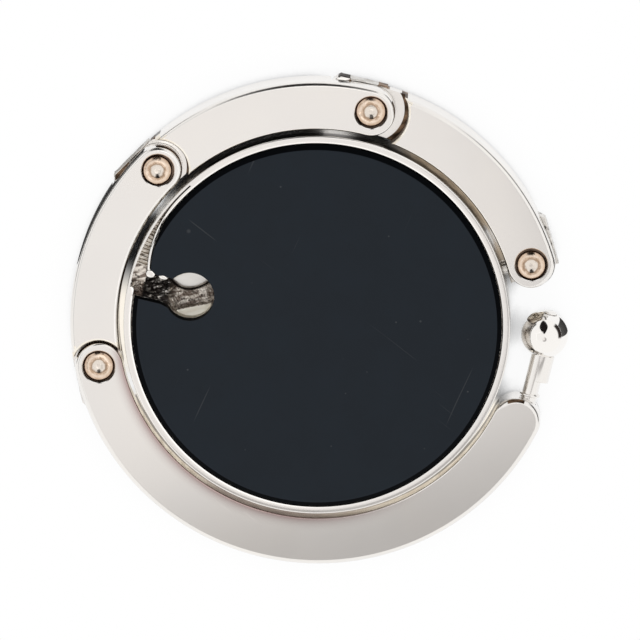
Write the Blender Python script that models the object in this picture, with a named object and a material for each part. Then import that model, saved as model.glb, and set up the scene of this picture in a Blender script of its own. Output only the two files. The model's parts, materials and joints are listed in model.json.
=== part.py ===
"""Folding purse hook: a padded metal disc with a ring of four hinged links, lying closed on its front face.

Sizes are in metres and angles in degrees. The disc's axis is Z and the pad faces up. Angles turn
anticlockwise from +X, seen from above.
"""

import math

import bmesh
import bpy
from mathutils import Matrix, Vector

# Disc
DISC_RADIUS = 0.01795
DISC_HEIGHT = 0.0046
DISC_FRONT_ROUND = 0.0009
RIM_LIP = 0.0007
RIM_BEVEL_WIDTH = 0.00032
RIM_BEVEL_HEIGHT = 0.00030
DISC_FLOOR_TOP = 0.00375

# Pad and its adhesive
PAD_TOP = 0.0051
PAD_EDGE_CHAMFER = 0.00050
PAD_SIDE_GAP = 0.00010
PAD_ADHESIVE = 0.00012
PAD_ADHESIVE_MARGIN = 0.00030

# Plain plate on the front face
INLAY_WALL = 0.00078
INLAY_THICKNESS = 0.00062
INLAY_CHAMFER = 0.00012
INLAY_SIDE_GAP = 0.00010
INLAY_ADHESIVE = 0.00012
INLAY_ADHESIVE_MARGIN = 0.00040

# Films and plates lie this far from what they are stuck to
SEAT_GAP = 0.00004

# Keyhole pocket for the ball
KEYHOLE_ANGLE = 168.0
BULB_DISTANCE = 0.01194
BULB_CLEARANCE = 0.00015
BULB_FLOOR = 0.0015
BULB_DISH_DEPTH = 0.0010
NECK_CLEARANCE = 0.00034
NECK_FLOOR = 0.0026

# Channel in the rim beside the keyhole
CHANNEL_START_ANGLE = 131.5
CHANNEL_FLOOR = 0.0031
CHANNEL_OUTER_WALL = 0.00042
CHANNEL_DEEPEST = 0.00120
CHANNEL_SHALLOWEST = 0.00006
CHANNEL_STEPS = 18
RIB_COUNT = 16
RIB_WIDTH_SHARE = 0.42
RIB_HEIGHT = 0.00020

# Ring of links
RING_GAP = 0.00050
LINK_WIDTH = 0.00450
RING_BOTTOM = 0.00070
RING_THICKNESS = 0.00340
LOWER_LAP = 0.00165
LAP_GAP = 0.00012
TOP_BEVEL = 0.00045
BOTTOM_BEVEL = 0.00025
SHOULDER_GAP = 0.00030
SHOULDER_BEVEL_SHARE = 0.85
HINGE_ANGLES = {1: 191.5, 2: 135.3, 3: 76.0, 4: 16.2}
LAST_LINK_END_ANGLE = 333.5
ARC_STEP_ANGLE = 4.5
ROUND_END_STEPS = 14

# Ear on each lower lap, which runs on past the rivet along the outer edge
EAR_REACH = 0.00410
EAR_BACK = 0.00100
EAR_PROUD = 0.00012
EAR_WIDTH = 0.00100
EAR_CORNER = 0.00060
EAR_SET_BACK = 0.00010
EAR_CLEARANCE = 0.00020

# Rivets
SHANK_RADIUS = 0.00070
SHANK_CLEARANCE = 0.00006
RIVET_HEAD_RADIUS = 0.00130
RIVET_HEAD_HEIGHT = 0.00042
RIVET_HEAD_ROUND = 0.00020
RIVET_HEAD_GAP = 0.00005
COUNTERBORE_CLEARANCE = 0.00022
COUNTERBORE_DEPTH = 0.00050
DIMPLE_RADIUS = 0.00062
DIMPLE_DEPTH = 0.00032

# Root lug and its swivel
SWIVEL_GAP = 0.00035
NECK_HALF_WIDTH = 0.00155
NECK_SET_BACK = 0.00006
STUD_RADIUS = 0.00065
STUD_CLEARANCE = 0.00006
STUD_ROOT_LENGTH = 0.00070
STUD_PEEN = 0.00018
RIM_WALL = 0.00195
WASHER_RADIUS = 0.00105
WASHER_THICKNESS = 0.00020
WASHER_DISH = 0.00008
COLLAR_RADIUS = 0.00100
COLLAR_LENGTH = 0.00070
SWIVEL_STACK_GAP = 0.00007
POCKET_CLEARANCE = 0.00012

# Ball and stem on the last link
BALL_RADIUS = 0.00220
BALL_SEAT_SHARE = 0.84
BALL_TOP_SHARE = 0.93
STEM_RADIUS = 0.00075
STEM_LENGTH = 0.00627
STEM_ROOT_ANGLE = 59.2
STEM_ANGLE = 76.5
STEM_BORE_CLEARANCE = 0.00005
STEM_SUNK_LENGTH = 0.00150
STEM_WIDE_LENGTH = 0.00255
STEM_WIDE_OFFSET = 0.00066
STEM_COLLAR_RADIUS = 0.00096
STEM_COLLAR_HEIGHT = 0.00022
STEM_COLLAR_LIFT = 0.00032
SPIGOT_RADIUS = 0.00050
NUB_RADIUS = 0.00070
NUB_HEIGHT = 0.00022

# Cutters run this far past the faces that they cut
OVERRUN = 0.0010
DISC_SEGMENTS = 96
BALL_SEGMENTS = 28
SMALL_SEGMENTS = 20
WELD = 1e-7

# Levels and radii that follow from the sizes above
RING_INNER = DISC_RADIUS + RING_GAP
RING_OUTER = RING_INNER + LINK_WIDTH
PITCH_RADIUS = RING_INNER + LINK_WIDTH / 2
ROUND_RADIUS = LINK_WIDTH / 2
RING_TOP = RING_BOTTOM + RING_THICKNESS
RING_MIDDLE = RING_BOTTOM + RING_THICKNESS / 2
LOWER_LAP_TOP = RING_BOTTOM + LOWER_LAP
UPPER_LAP_BOTTOM = LOWER_LAP_TOP + LAP_GAP
SWIVEL_HEIGHT = RING_BOTTOM + LOWER_LAP / 2
SWIVEL_ANGLE = HINGE_ANGLES[4]
RECESS_RADIUS = DISC_RADIUS - RIM_LIP
SWIVEL_STACK = WASHER_THICKNESS + WASHER_DISH + COLLAR_LENGTH + 3 * SWIVEL_STACK_GAP
POCKET_INNER = DISC_RADIUS - RIM_WALL - SWIVEL_STACK - STUD_PEEN - SWIVEL_STACK_GAP - POCKET_CLEARANCE
INLAY_RADIUS = POCKET_INNER - INLAY_WALL - INLAY_SIDE_GAP
BULB_RADIUS = BALL_RADIUS + BULB_CLEARANCE
STEM_WIDE_HALF = STEM_RADIUS + STEM_WIDE_OFFSET / 2
EAR_OUTER = ROUND_RADIUS + EAR_PROUD
EAR_REACH_RADIUS = math.hypot(EAR_REACH, EAR_OUTER - EAR_CORNER)
INLAY_RECESS = INLAY_THICKNESS + INLAY_ADHESIVE + 2 * SEAT_GAP

NICKEL = ((0.80, 0.77, 0.72), 1.0, 0.14)
CAST_NICKEL = ((0.74, 0.71, 0.66), 1.0, 0.22)
ROSE_COPPER = ((0.78, 0.50, 0.38), 1.0, 0.24)
STEEL = ((0.62, 0.62, 0.63), 1.0, 0.30)
RUBBER = ((0.020, 0.024, 0.031), 0.0, 0.62)
ADHESIVE = ((0.72, 0.69, 0.60), 0.0, 0.55)


def clear_scene():
    for obj in list(bpy.data.objects):
        bpy.data.objects.remove(obj, do_unlink=True)


def polar(radius, degrees):
    angle = math.radians(degrees)
    return Vector((radius * math.cos(angle), radius * math.sin(angle), 0))


def arc(centre, radius, start, end, steps):
    """Points on an arc about centre, both ends included."""
    angles = [start + (end - start) * step / steps for step in range(steps + 1)]
    return [centre + polar(radius, angle) for angle in angles]


def arc_steps(start, end):
    return max(2, round(abs(end - start) / ARC_STEP_ANGLE))


def hinge_frame(degrees):
    """Maps (along the ring, outward, up) at a hinge to the part's own axes."""
    outward = polar(1, degrees)
    along = Vector((-outward.y, outward.x, 0))
    turn = Matrix((along, outward, Vector((0, 0, 1)))).transposed().to_4x4()
    return Matrix.Translation(PITCH_RADIUS * outward) @ turn


def radial_frame(degrees, height):
    """Maps a shape turned about Z to one whose axis points outward from the disc's axis."""
    lift = Matrix.Translation((0, 0, height))
    return lift @ Matrix.Rotation(math.radians(degrees), 4, "Z") @ Matrix.Rotation(math.pi / 2, 4, "Y")


def new_object(name, mesh_data, frame=None):
    if frame:
        mesh_data.transform(frame)
    mesh_data.normal_update()
    bmesh.ops.recalc_face_normals(mesh_data, faces=mesh_data.faces)
    mesh = bpy.data.meshes.new(name)
    mesh_data.to_mesh(mesh)
    mesh_data.free()
    mesh.shade_smooth()
    mesh.set_sharp_from_angle(angle=math.radians(30))
    obj = bpy.data.objects.new(name, mesh)
    bpy.context.collection.objects.link(obj)
    return obj


def prism(name, outline, bottom, top, top_bevel=0, bottom_bevel=0, segments=1, frame=None):
    """Extrudes an outline between two heights and rounds its top and bottom edges."""
    shape = bmesh.new()
    face = shape.faces.new([shape.verts.new((point[0], point[1], bottom)) for point in outline])
    grown = bmesh.ops.extrude_face_region(shape, geom=[face])["geom"]
    upper = {item for item in grown if isinstance(item, bmesh.types.BMVert)}
    bmesh.ops.translate(shape, verts=list(upper), vec=(0, 0, top - bottom))
    top_edges = [edge for edge in shape.edges if set(edge.verts) <= upper]
    bottom_edges = [edge for edge in shape.edges if not set(edge.verts) & upper]
    for edges, width in ((top_edges, top_bevel), (bottom_edges, bottom_bevel)):
        if width:
            bmesh.ops.bevel(
                shape, geom=edges, offset=width, segments=segments, profile=0.5, affect="EDGES"
            )
    return new_object(name, shape, frame)


def turned(name, profile, segments=SMALL_SEGMENTS, frame=None, ring=False):
    """Spins a profile of (radius, height) points about Z. A ring closes on itself, others get flat ends."""
    shape = bmesh.new()
    points = [shape.verts.new((radius, 0, height)) for radius, height in profile]
    ends = list(zip(points, points[1:]))
    if ring:
        ends.append((points[-1], points[0]))
    edges = [shape.edges.new(pair) for pair in ends]
    bmesh.ops.spin(
        shape,
        geom=points + edges,
        cent=(0, 0, 0),
        axis=(0, 0, 1),
        angle=2 * math.pi,
        steps=segments,
        use_merge=True,
    )
    bmesh.ops.holes_fill(shape, edges=shape.edges)
    return new_object(name, shape, frame)


def as_tool(obj):
    """Marks a shape that only cuts or joins another."""
    obj.hide_render = True
    obj.display_type = "WIRE"
    return obj


def combine(obj, operation, *tools):
    for tool in tools:
        modifier = obj.modifiers.new(tool.name, "BOOLEAN")
        modifier.operation = operation
        modifier.object = as_tool(tool)
        modifier.solver = "EXACT"
    return obj


def finish(obj, look):
    colour, metallic, roughness = look
    material = bpy.data.materials.new(obj.name)
    material.use_nodes = True
    shader = material.node_tree.nodes["Principled BSDF"]
    shader.inputs["Base Color"].default_value = (*colour, 1)
    shader.inputs["Metallic"].default_value = metallic
    shader.inputs["Roughness"].default_value = roughness
    obj.data.materials.append(material)


def round_corner(centre, radius, start, end, steps):
    """Profile points (radius, height) on a rounded corner."""
    angles = [math.radians(start + (end - start) * step / steps) for step in range(steps + 1)]
    return [(centre[0] + radius * math.cos(a), centre[1] + radius * math.sin(a)) for a in angles]


def keyhole_bulb():
    """Round pocket with a dished floor that the ball sits in."""
    steps = ((0.35, 0.0), (0.62, 0.16), (0.84, 0.48), (1.0, 1.0))
    profile = [(BULB_RADIUS * share, BULB_FLOOR + BULB_DISH_DEPTH * rise_share) for share, rise_share in steps]
    profile.append((BULB_RADIUS, PAD_TOP + OVERRUN))
    place = Matrix.Translation(polar(BULB_DISTANCE, KEYHOLE_ANGLE))
    return turned("keyhole_bulb", profile, 2 * SMALL_SEGMENTS, place)


def keyhole_neck():
    """Slot for the stem, from the bulb out to the thin wall left along the rim."""
    half = STEM_WIDE_HALF + NECK_CLEARANCE
    inner = BULB_DISTANCE
    outer = DISC_RADIUS - CHANNEL_OUTER_WALL
    outline = [(inner, -half), (outer, -half), (outer, half), (inner, half)]
    turn = Matrix.Rotation(math.radians(KEYHOLE_ANGLE), 4, "Z")
    return prism("keyhole_neck", outline, NECK_FLOOR, PAD_TOP + OVERRUN, frame=turn)


def channel_depth(share):
    return CHANNEL_SHALLOWEST + (CHANNEL_DEEPEST - CHANNEL_SHALLOWEST) * share


def rim_channel():
    """Crescent cut in the rim that widens from its tip to the keyhole."""
    outer_radius = DISC_RADIUS - CHANNEL_OUTER_WALL
    shares = [step / CHANNEL_STEPS for step in range(CHANNEL_STEPS + 1)]
    sweep = KEYHOLE_ANGLE - CHANNEL_START_ANGLE
    outer = [polar(outer_radius, CHANNEL_START_ANGLE + sweep * share) for share in shares]
    inner = [
        polar(outer_radius - channel_depth(share), CHANNEL_START_ANGLE + sweep * share) for share in shares
    ]
    return prism("rim_channel", outer + inner[::-1], CHANNEL_FLOOR, PAD_TOP + OVERRUN)


def channel_ribs():
    """Fine ribs across the channel's floor, one for each step from its tip."""
    shape = bmesh.new()
    outer_radius = DISC_RADIUS - CHANNEL_OUTER_WALL
    neck_half_angle = math.degrees(math.asin((STEM_WIDE_HALF + NECK_CLEARANCE) / outer_radius))
    first = CHANNEL_START_ANGLE
    last = KEYHOLE_ANGLE - neck_half_angle
    pitch = (last - first) / (RIB_COUNT + 1)
    sweep = KEYHOLE_ANGLE - CHANNEL_START_ANGLE
    sink = CHANNEL_SHALLOWEST
    for rib in range(RIB_COUNT):
        middle = first + pitch * (rib + 1)
        depth = channel_depth((middle - CHANNEL_START_ANGLE) / sweep)
        half_width = outer_radius * math.radians(pitch) * RIB_WIDTH_SHARE / 2
        size = Vector((depth + 2 * sink, 2 * half_width, RIB_HEIGHT + sink))
        centre = Vector((outer_radius - depth / 2, 0, CHANNEL_FLOOR + (RIB_HEIGHT - sink) / 2))
        turn = Matrix.Rotation(math.radians(middle), 4, "Z")
        bmesh.ops.create_cube(
            shape, size=1, matrix=turn @ Matrix.Translation(centre) @ Matrix.Diagonal(size).to_4x4()
        )
    return new_object("channel_ribs", shape)


def swivel_bore():
    radius = STUD_RADIUS + STUD_CLEARANCE
    start = DISC_RADIUS - RIM_WALL - POCKET_CLEARANCE
    profile = [(radius, start), (radius, DISC_RADIUS + OVERRUN)]
    return turned("swivel_bore", profile, frame=radial_frame(SWIVEL_ANGLE, SWIVEL_HEIGHT))


def collar_pocket():
    """Pocket under the pad that holds the washer and the collar of the swivel."""
    outer = DISC_RADIUS - RIM_WALL
    half = WASHER_RADIUS + POCKET_CLEARANCE
    outline = [(POCKET_INNER, -half), (outer, -half), (outer, half), (POCKET_INNER, half)]
    turn = Matrix.Rotation(math.radians(SWIVEL_ANGLE), 4, "Z")
    return prism("collar_pocket", outline, SWIVEL_HEIGHT - half, PAD_TOP, frame=turn)


def disc_body():
    recess = INLAY_RADIUS + INLAY_SIDE_GAP
    profile = [(recess, INLAY_RECESS), (recess, INLAY_CHAMFER)]
    profile.append((recess + INLAY_CHAMFER, 0))
    corner = (DISC_RADIUS - DISC_FRONT_ROUND, DISC_FRONT_ROUND)
    profile += round_corner(corner, DISC_FRONT_ROUND, -90, 0, 3)
    profile += [
        (DISC_RADIUS, DISC_HEIGHT - RIM_BEVEL_HEIGHT),
        (DISC_RADIUS - RIM_BEVEL_WIDTH, DISC_HEIGHT),
        (RECESS_RADIUS, DISC_HEIGHT),
        (RECESS_RADIUS, DISC_FLOOR_TOP),
    ]
    body = turned("disc_body", profile, DISC_SEGMENTS)
    combine(body, "DIFFERENCE", keyhole_bulb(), keyhole_neck(), rim_channel())
    combine(body, "DIFFERENCE", swivel_bore(), collar_pocket())
    combine(body, "UNION", channel_ribs())
    finish(body, CAST_NICKEL)
    return body


def keyhole_tools():
    return [bpy.data.objects[name] for name in ("keyhole_bulb", "keyhole_neck", "rim_channel")]


def rubber_pad():
    radius = RECESS_RADIUS - PAD_SIDE_GAP
    bottom = DISC_FLOOR_TOP + PAD_ADHESIVE + 2 * SEAT_GAP
    profile = [
        (radius, bottom),
        (radius, PAD_TOP - PAD_EDGE_CHAMFER),
        (radius - PAD_EDGE_CHAMFER, PAD_TOP),
    ]
    pad = turned("rubber_pad", profile, DISC_SEGMENTS)
    combine(pad, "DIFFERENCE", *keyhole_tools())
    finish(pad, RUBBER)


def pad_adhesive():
    radius = RECESS_RADIUS - PAD_SIDE_GAP - PAD_ADHESIVE_MARGIN
    bottom = DISC_FLOOR_TOP + SEAT_GAP
    profile = [(radius, bottom), (radius, bottom + PAD_ADHESIVE)]
    film = turned("pad_adhesive", profile, DISC_SEGMENTS)
    combine(film, "DIFFERENCE", *keyhole_tools())
    finish(film, ADHESIVE)


def front_inlay():
    profile = [
        (INLAY_RADIUS - INLAY_CHAMFER, 0),
        (INLAY_RADIUS, INLAY_CHAMFER),
        (INLAY_RADIUS, INLAY_THICKNESS),
    ]
    finish(turned("front_inlay", profile, DISC_SEGMENTS), NICKEL)


def inlay_adhesive():
    radius = INLAY_RADIUS - INLAY_ADHESIVE_MARGIN
    bottom = INLAY_THICKNESS + SEAT_GAP
    profile = [(radius, bottom), (radius, bottom + INLAY_ADHESIVE)]
    finish(turned("inlay_adhesive", profile, DISC_SEGMENTS), ADHESIVE)


def band_outline(start, end):
    """Outline of a link: an arc of the ring with a round end at each hinge."""
    steps = arc_steps(start, end)
    outline = arc(Vector(), RING_OUTER, start, end, steps)
    outline += arc(polar(PITCH_RADIUS, end), ROUND_RADIUS, end, end + 180, ROUND_END_STEPS)[1:-1]
    outline += arc(Vector(), RING_INNER, end, start, steps)
    outline += arc(polar(PITCH_RADIUS, start), ROUND_RADIUS, start + 180, start + 360, ROUND_END_STEPS)[1:-1]
    return outline


def ear(hinge):
    """Straight ear of a lower lap, which shows past the outer edge of the link above it."""
    inner = EAR_OUTER - EAR_WIDTH
    outline = [
        (-EAR_BACK, inner),
        (EAR_REACH, inner),
        (EAR_REACH, EAR_OUTER - EAR_CORNER),
        (EAR_REACH - EAR_CORNER, EAR_OUTER),
        (-EAR_BACK, EAR_OUTER),
    ]
    bottom = RING_BOTTOM + EAR_SET_BACK
    top = LOWER_LAP_TOP - EAR_SET_BACK
    return prism(f"ear_{hinge}", outline, bottom, top, frame=hinge_frame(HINGE_ANGLES[hinge]))


def rivet_hole(hinge):
    """Stepped hole through both laps of a hinge, with a counterbore for each rivet head."""
    bore = SHANK_RADIUS + SHANK_CLEARANCE
    wide = RIVET_HEAD_RADIUS + COUNTERBORE_CLEARANCE
    profile = [
        (wide, RING_BOTTOM - OVERRUN),
        (wide, RING_BOTTOM + COUNTERBORE_DEPTH),
        (bore, RING_BOTTOM + COUNTERBORE_DEPTH),
        (bore, RING_TOP - COUNTERBORE_DEPTH),
        (wide, RING_TOP - COUNTERBORE_DEPTH),
        (wide, RING_TOP + OVERRUN),
    ]
    return turned(f"rivet_hole_{hinge}", profile, frame=hinge_frame(HINGE_ANGLES[hinge]))


def shoulder_cutter(hinge):
    """Clears the upper half of a lower lap and leaves a bevelled round shoulder."""
    radius = ROUND_RADIUS + SHOULDER_GAP
    bevel = TOP_BEVEL * SHOULDER_BEVEL_SHARE
    flare = bevel + OVERRUN
    profile = [
        (radius, LOWER_LAP_TOP),
        (radius, RING_TOP - bevel),
        (radius + flare, RING_TOP - bevel + flare),
    ]
    frame = hinge_frame(HINGE_ANGLES[hinge])
    return turned(f"shoulder_cutter_{hinge}", profile, 2 * SMALL_SEGMENTS, frame)


def underside_cutter(hinge):
    """Clears the lower half of an upper lap as far as the ear of the lap below it can reach."""
    radius = EAR_REACH_RADIUS + EAR_CLEARANCE
    bevel = BOTTOM_BEVEL * SHOULDER_BEVEL_SHARE
    flare = bevel + OVERRUN
    profile = [
        (radius + flare, RING_BOTTOM + bevel - flare),
        (radius, RING_BOTTOM + bevel),
        (radius, UPPER_LAP_BOTTOM),
    ]
    frame = hinge_frame(HINGE_ANGLES[hinge])
    return turned(f"underside_cutter_{hinge}", profile, 2 * SMALL_SEGMENTS, frame)


def link(number):
    """A link between its own rivet, where it lies on top, and the next hinge, where it lies below."""
    start = HINGE_ANGLES[number]
    last = number == 1
    end = LAST_LINK_END_ANGLE if last else HINGE_ANGLES[number - 1]
    body = prism(
        f"link_{number}", band_outline(start, end), RING_BOTTOM, RING_TOP, TOP_BEVEL, BOTTOM_BEVEL, 2
    )
    if not last:
        combine(body, "UNION", ear(number - 1))
        combine(body, "DIFFERENCE", shoulder_cutter(number - 1))
        combine(body, "DIFFERENCE", bpy.data.objects[f"rivet_hole_{number - 1}"])
    combine(body, "DIFFERENCE", underside_cutter(number), rivet_hole(number))
    if last:
        combine(body, "DIFFERENCE", stem_bore())
    finish(body, NICKEL)
    return body


def rivet(number):
    """Rivet with a low domed head below and a peened, dimpled head above."""
    foot = RING_BOTTOM + COUNTERBORE_DEPTH - RIVET_HEAD_GAP
    crown = RING_TOP - COUNTERBORE_DEPTH + RIVET_HEAD_GAP
    edge = RIVET_HEAD_RADIUS - RIVET_HEAD_ROUND
    low = foot - RIVET_HEAD_HEIGHT
    high = crown + RIVET_HEAD_HEIGHT
    profile = round_corner((edge, low + RIVET_HEAD_ROUND), RIVET_HEAD_ROUND, -90, 0, 2)
    profile += [(RIVET_HEAD_RADIUS, foot), (SHANK_RADIUS, foot)]
    profile += [(SHANK_RADIUS, crown), (RIVET_HEAD_RADIUS, crown)]
    profile += round_corner((edge, high - RIVET_HEAD_ROUND), RIVET_HEAD_ROUND, 0, 90, 2)
    for share, depth_share in ((1.15, 0.0), (0.9, 0.35), (0.55, 0.85), (0.25, 1.0)):
        profile.append((DIMPLE_RADIUS * share, high - DIMPLE_DEPTH * depth_share))
    piece = turned(f"rivet_{number}", profile, SMALL_SEGMENTS, hinge_frame(HINGE_ANGLES[number]))
    finish(piece, ROSE_COPPER)
    return piece


def swivel_stud():
    """Shank of the lug, which runs in through the rim and is peened over its collar."""
    face = DISC_RADIUS + SWIVEL_GAP
    peen = DISC_RADIUS - RIM_WALL - SWIVEL_STACK
    profile = [
        (STUD_RADIUS, peen - STUD_PEEN),
        (STUD_RADIUS + STUD_PEEN, peen - STUD_PEEN / 2),
        (STUD_RADIUS + STUD_PEEN, peen),
        (STUD_RADIUS, peen),
        (STUD_RADIUS, face + STUD_ROOT_LENGTH),
    ]
    return turned("swivel_stud", profile, frame=radial_frame(SWIVEL_ANGLE, SWIVEL_HEIGHT))


def lug_neck():
    inward = PITCH_RADIUS - DISC_RADIUS - SWIVEL_GAP
    outline = [
        (-NECK_HALF_WIDTH, -inward),
        (NECK_HALF_WIDTH, -inward),
        (NECK_HALF_WIDTH, 0),
        (-NECK_HALF_WIDTH, 0),
    ]
    bottom = RING_BOTTOM + NECK_SET_BACK
    top = LOWER_LAP_TOP - NECK_SET_BACK
    return prism("lug_neck", outline, bottom, top, frame=hinge_frame(SWIVEL_ANGLE))


def root_lug():
    circle = arc(Vector(), ROUND_RADIUS, 0, 360, 2 * ROUND_END_STEPS)[:-1]
    frame = hinge_frame(SWIVEL_ANGLE)
    bevel = BOTTOM_BEVEL
    lug = prism("root_lug", circle, RING_BOTTOM, LOWER_LAP_TOP, 0, bevel, 2, frame)
    combine(lug, "UNION", lug_neck(), ear(4), swivel_stud())
    combine(lug, "DIFFERENCE", bpy.data.objects["rivet_hole_4"])
    finish(lug, CAST_NICKEL)
    return lug


def swivel_washer():
    """Dished spring washer between the rim and the collar."""
    hole = STUD_RADIUS + STUD_CLEARANCE
    outer = DISC_RADIUS - RIM_WALL - SWIVEL_STACK_GAP
    profile = [
        (hole, outer - WASHER_THICKNESS),
        (hole, outer),
        (WASHER_RADIUS, outer - WASHER_DISH),
        (WASHER_RADIUS, outer - WASHER_DISH - WASHER_THICKNESS),
    ]
    frame = radial_frame(SWIVEL_ANGLE, SWIVEL_HEIGHT)
    washer = turned("swivel_washer", profile, frame=frame, ring=True)
    finish(washer, STEEL)
    return washer


def swivel_collar():
    hole = STUD_RADIUS + STUD_CLEARANCE
    outer = DISC_RADIUS - RIM_WALL - WASHER_THICKNESS - WASHER_DISH - 2 * SWIVEL_STACK_GAP
    inner = outer - COLLAR_LENGTH
    profile = [(hole, inner), (hole, outer), (COLLAR_RADIUS, outer), (COLLAR_RADIUS, inner)]
    frame = radial_frame(SWIVEL_ANGLE, SWIVEL_HEIGHT)
    collar = turned("swivel_collar", profile, frame=frame, ring=True)
    finish(collar, STEEL)
    return collar


def stem_root():
    """Point on the round end of the last link where the stem comes out."""
    centre = polar(PITCH_RADIUS, LAST_LINK_END_ANGLE)
    return centre + polar(ROUND_RADIUS, STEM_ROOT_ANGLE) + Vector((0, 0, RING_MIDDLE))


def stem_frame():
    """Maps Z to the stem's axis and X to its outer side, with the origin where the stem comes out."""
    axis = polar(1, STEM_ANGLE)
    outer_side = polar(1, STEM_ANGLE - 90)
    turn = Matrix((outer_side, axis.cross(outer_side), axis)).transposed().to_4x4()
    return Matrix.Translation(stem_root()) @ turn


def stem_bore():
    radius = STEM_RADIUS + STEM_BORE_CLEARANCE
    bottom = -STEM_SUNK_LENGTH - STEM_BORE_CLEARANCE
    profile = [(radius, bottom), (radius, STEM_LENGTH)]
    return turned("stem_bore", profile, frame=stem_frame())


def wide_stem(top):
    """Upper part of the stem, which is wider on its outer side."""
    steps = ROUND_END_STEPS // 2
    outline = arc(Vector(), STEM_RADIUS, 90, 270, steps)
    outline += arc(Vector((STEM_WIDE_OFFSET, 0, 0)), STEM_RADIUS, -90, 90, steps)
    bottom = top - STEM_WIDE_LENGTH
    return prism("wide_stem", outline, bottom, top, frame=stem_frame())


def tip_stem():
    """Stem with a collar at the link, a wide upper part and a spigot peened over the ball."""
    shoulder = STEM_LENGTH - BALL_RADIUS * BALL_SEAT_SHARE - SEAT_GAP
    nub = STEM_LENGTH + BALL_RADIUS * BALL_TOP_SHARE + SEAT_GAP
    collar = STEM_COLLAR_LIFT
    profile = [
        (STEM_RADIUS, -STEM_SUNK_LENGTH),
        (STEM_RADIUS, collar),
        (STEM_COLLAR_RADIUS, collar),
        (STEM_COLLAR_RADIUS, collar + STEM_COLLAR_HEIGHT),
        (STEM_RADIUS, collar + STEM_COLLAR_HEIGHT),
        (STEM_RADIUS, shoulder - WELD),
        (SPIGOT_RADIUS, shoulder - WELD),
        (SPIGOT_RADIUS, nub),
        (NUB_RADIUS, nub),
        (NUB_RADIUS, nub + NUB_HEIGHT / 3),
        (NUB_RADIUS / 2, nub + NUB_HEIGHT),
    ]
    stem = turned("tip_stem", profile, frame=stem_frame())
    combine(stem, "UNION", wide_stem(shoulder))
    finish(stem, NICKEL)
    return stem


def tip_ball():
    """Ball with a flat seat below, a flat for the peened nub above and a bore for the spigot."""
    bore = SPIGOT_RADIUS + SEAT_GAP
    seat = BALL_RADIUS * BALL_SEAT_SHARE
    top = BALL_RADIUS * BALL_TOP_SHARE
    start = -math.degrees(math.asin(BALL_SEAT_SHARE))
    end = math.degrees(math.asin(BALL_TOP_SHARE))
    profile = [(bore, -seat)]
    profile += round_corner((0, 0), BALL_RADIUS, start, end, BALL_SEGMENTS // 2)
    profile.append((bore, top))
    place = stem_frame() @ Matrix.Translation((0, 0, STEM_LENGTH))
    ball = turned("tip_ball", profile, BALL_SEGMENTS, place, ring=True)
    finish(ball, NICKEL)
    return ball


def empty_at(name, point, parent=None):
    axis = bpy.data.objects.new(name, None)
    axis.empty_display_size = LINK_WIDTH
    bpy.context.collection.objects.link(axis)
    axis.location = point
    carry(parent, axis)
    return axis


def carry(parent, *pieces):
    """Parents pieces to an axis and leaves them where they are."""
    if parent:
        bpy.context.view_layer.update()
        for piece in pieces:
            piece.parent = parent
            piece.matrix_parent_inverse = parent.matrix_world.inverted()


def build():
    clear_scene()
    disc_body()
    rubber_pad()
    pad_adhesive()
    front_inlay()
    inlay_adhesive()
    links = {number: link(number) for number in (1, 2, 3, 4)}
    rivets = {number: rivet(number) for number in (1, 2, 3, 4)}
    swivel_point = polar(DISC_RADIUS, SWIVEL_ANGLE) + Vector((0, 0, SWIVEL_HEIGHT))
    axis = empty_at("swivel_axis", swivel_point)
    carry(axis, root_lug(), swivel_washer(), swivel_collar())
    for number in (4, 3, 2, 1):
        point = polar(PITCH_RADIUS, HINGE_ANGLES[number]) + Vector((0, 0, LOWER_LAP_TOP))
        axis = empty_at(f"hinge_axis_{number}", point, axis)
        carry(axis, links[number], rivets[number])
    carry(axis, tip_stem(), tip_ball())


build()
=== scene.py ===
"""Looks of the folding purse hook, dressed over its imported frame.

Sizes are in metres and angles in degrees, in the frame's own axes: the disc's axis is Z, the pad faces up
and angles turn anticlockwise from +X, seen from above.
"""

import json
import math

import bmesh
import bpy
from mathutils import Matrix, Vector, noise

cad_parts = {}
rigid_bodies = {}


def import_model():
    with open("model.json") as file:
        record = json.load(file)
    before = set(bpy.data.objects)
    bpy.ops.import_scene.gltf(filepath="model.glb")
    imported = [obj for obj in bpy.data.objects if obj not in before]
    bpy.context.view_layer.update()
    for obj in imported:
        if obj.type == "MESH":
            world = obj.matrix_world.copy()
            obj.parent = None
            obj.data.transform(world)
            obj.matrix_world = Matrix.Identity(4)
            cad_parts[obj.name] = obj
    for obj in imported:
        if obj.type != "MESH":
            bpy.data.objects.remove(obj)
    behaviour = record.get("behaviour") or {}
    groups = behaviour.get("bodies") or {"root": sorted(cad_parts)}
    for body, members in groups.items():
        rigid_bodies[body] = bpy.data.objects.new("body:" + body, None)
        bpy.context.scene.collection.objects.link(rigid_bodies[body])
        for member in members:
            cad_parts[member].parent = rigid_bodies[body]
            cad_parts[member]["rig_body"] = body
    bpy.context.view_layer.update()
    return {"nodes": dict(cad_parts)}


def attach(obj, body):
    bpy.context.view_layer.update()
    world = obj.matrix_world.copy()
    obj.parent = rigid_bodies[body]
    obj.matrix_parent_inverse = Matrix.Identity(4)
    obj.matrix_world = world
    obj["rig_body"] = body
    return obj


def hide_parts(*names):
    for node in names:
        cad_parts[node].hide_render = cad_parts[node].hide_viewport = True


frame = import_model()

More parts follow.
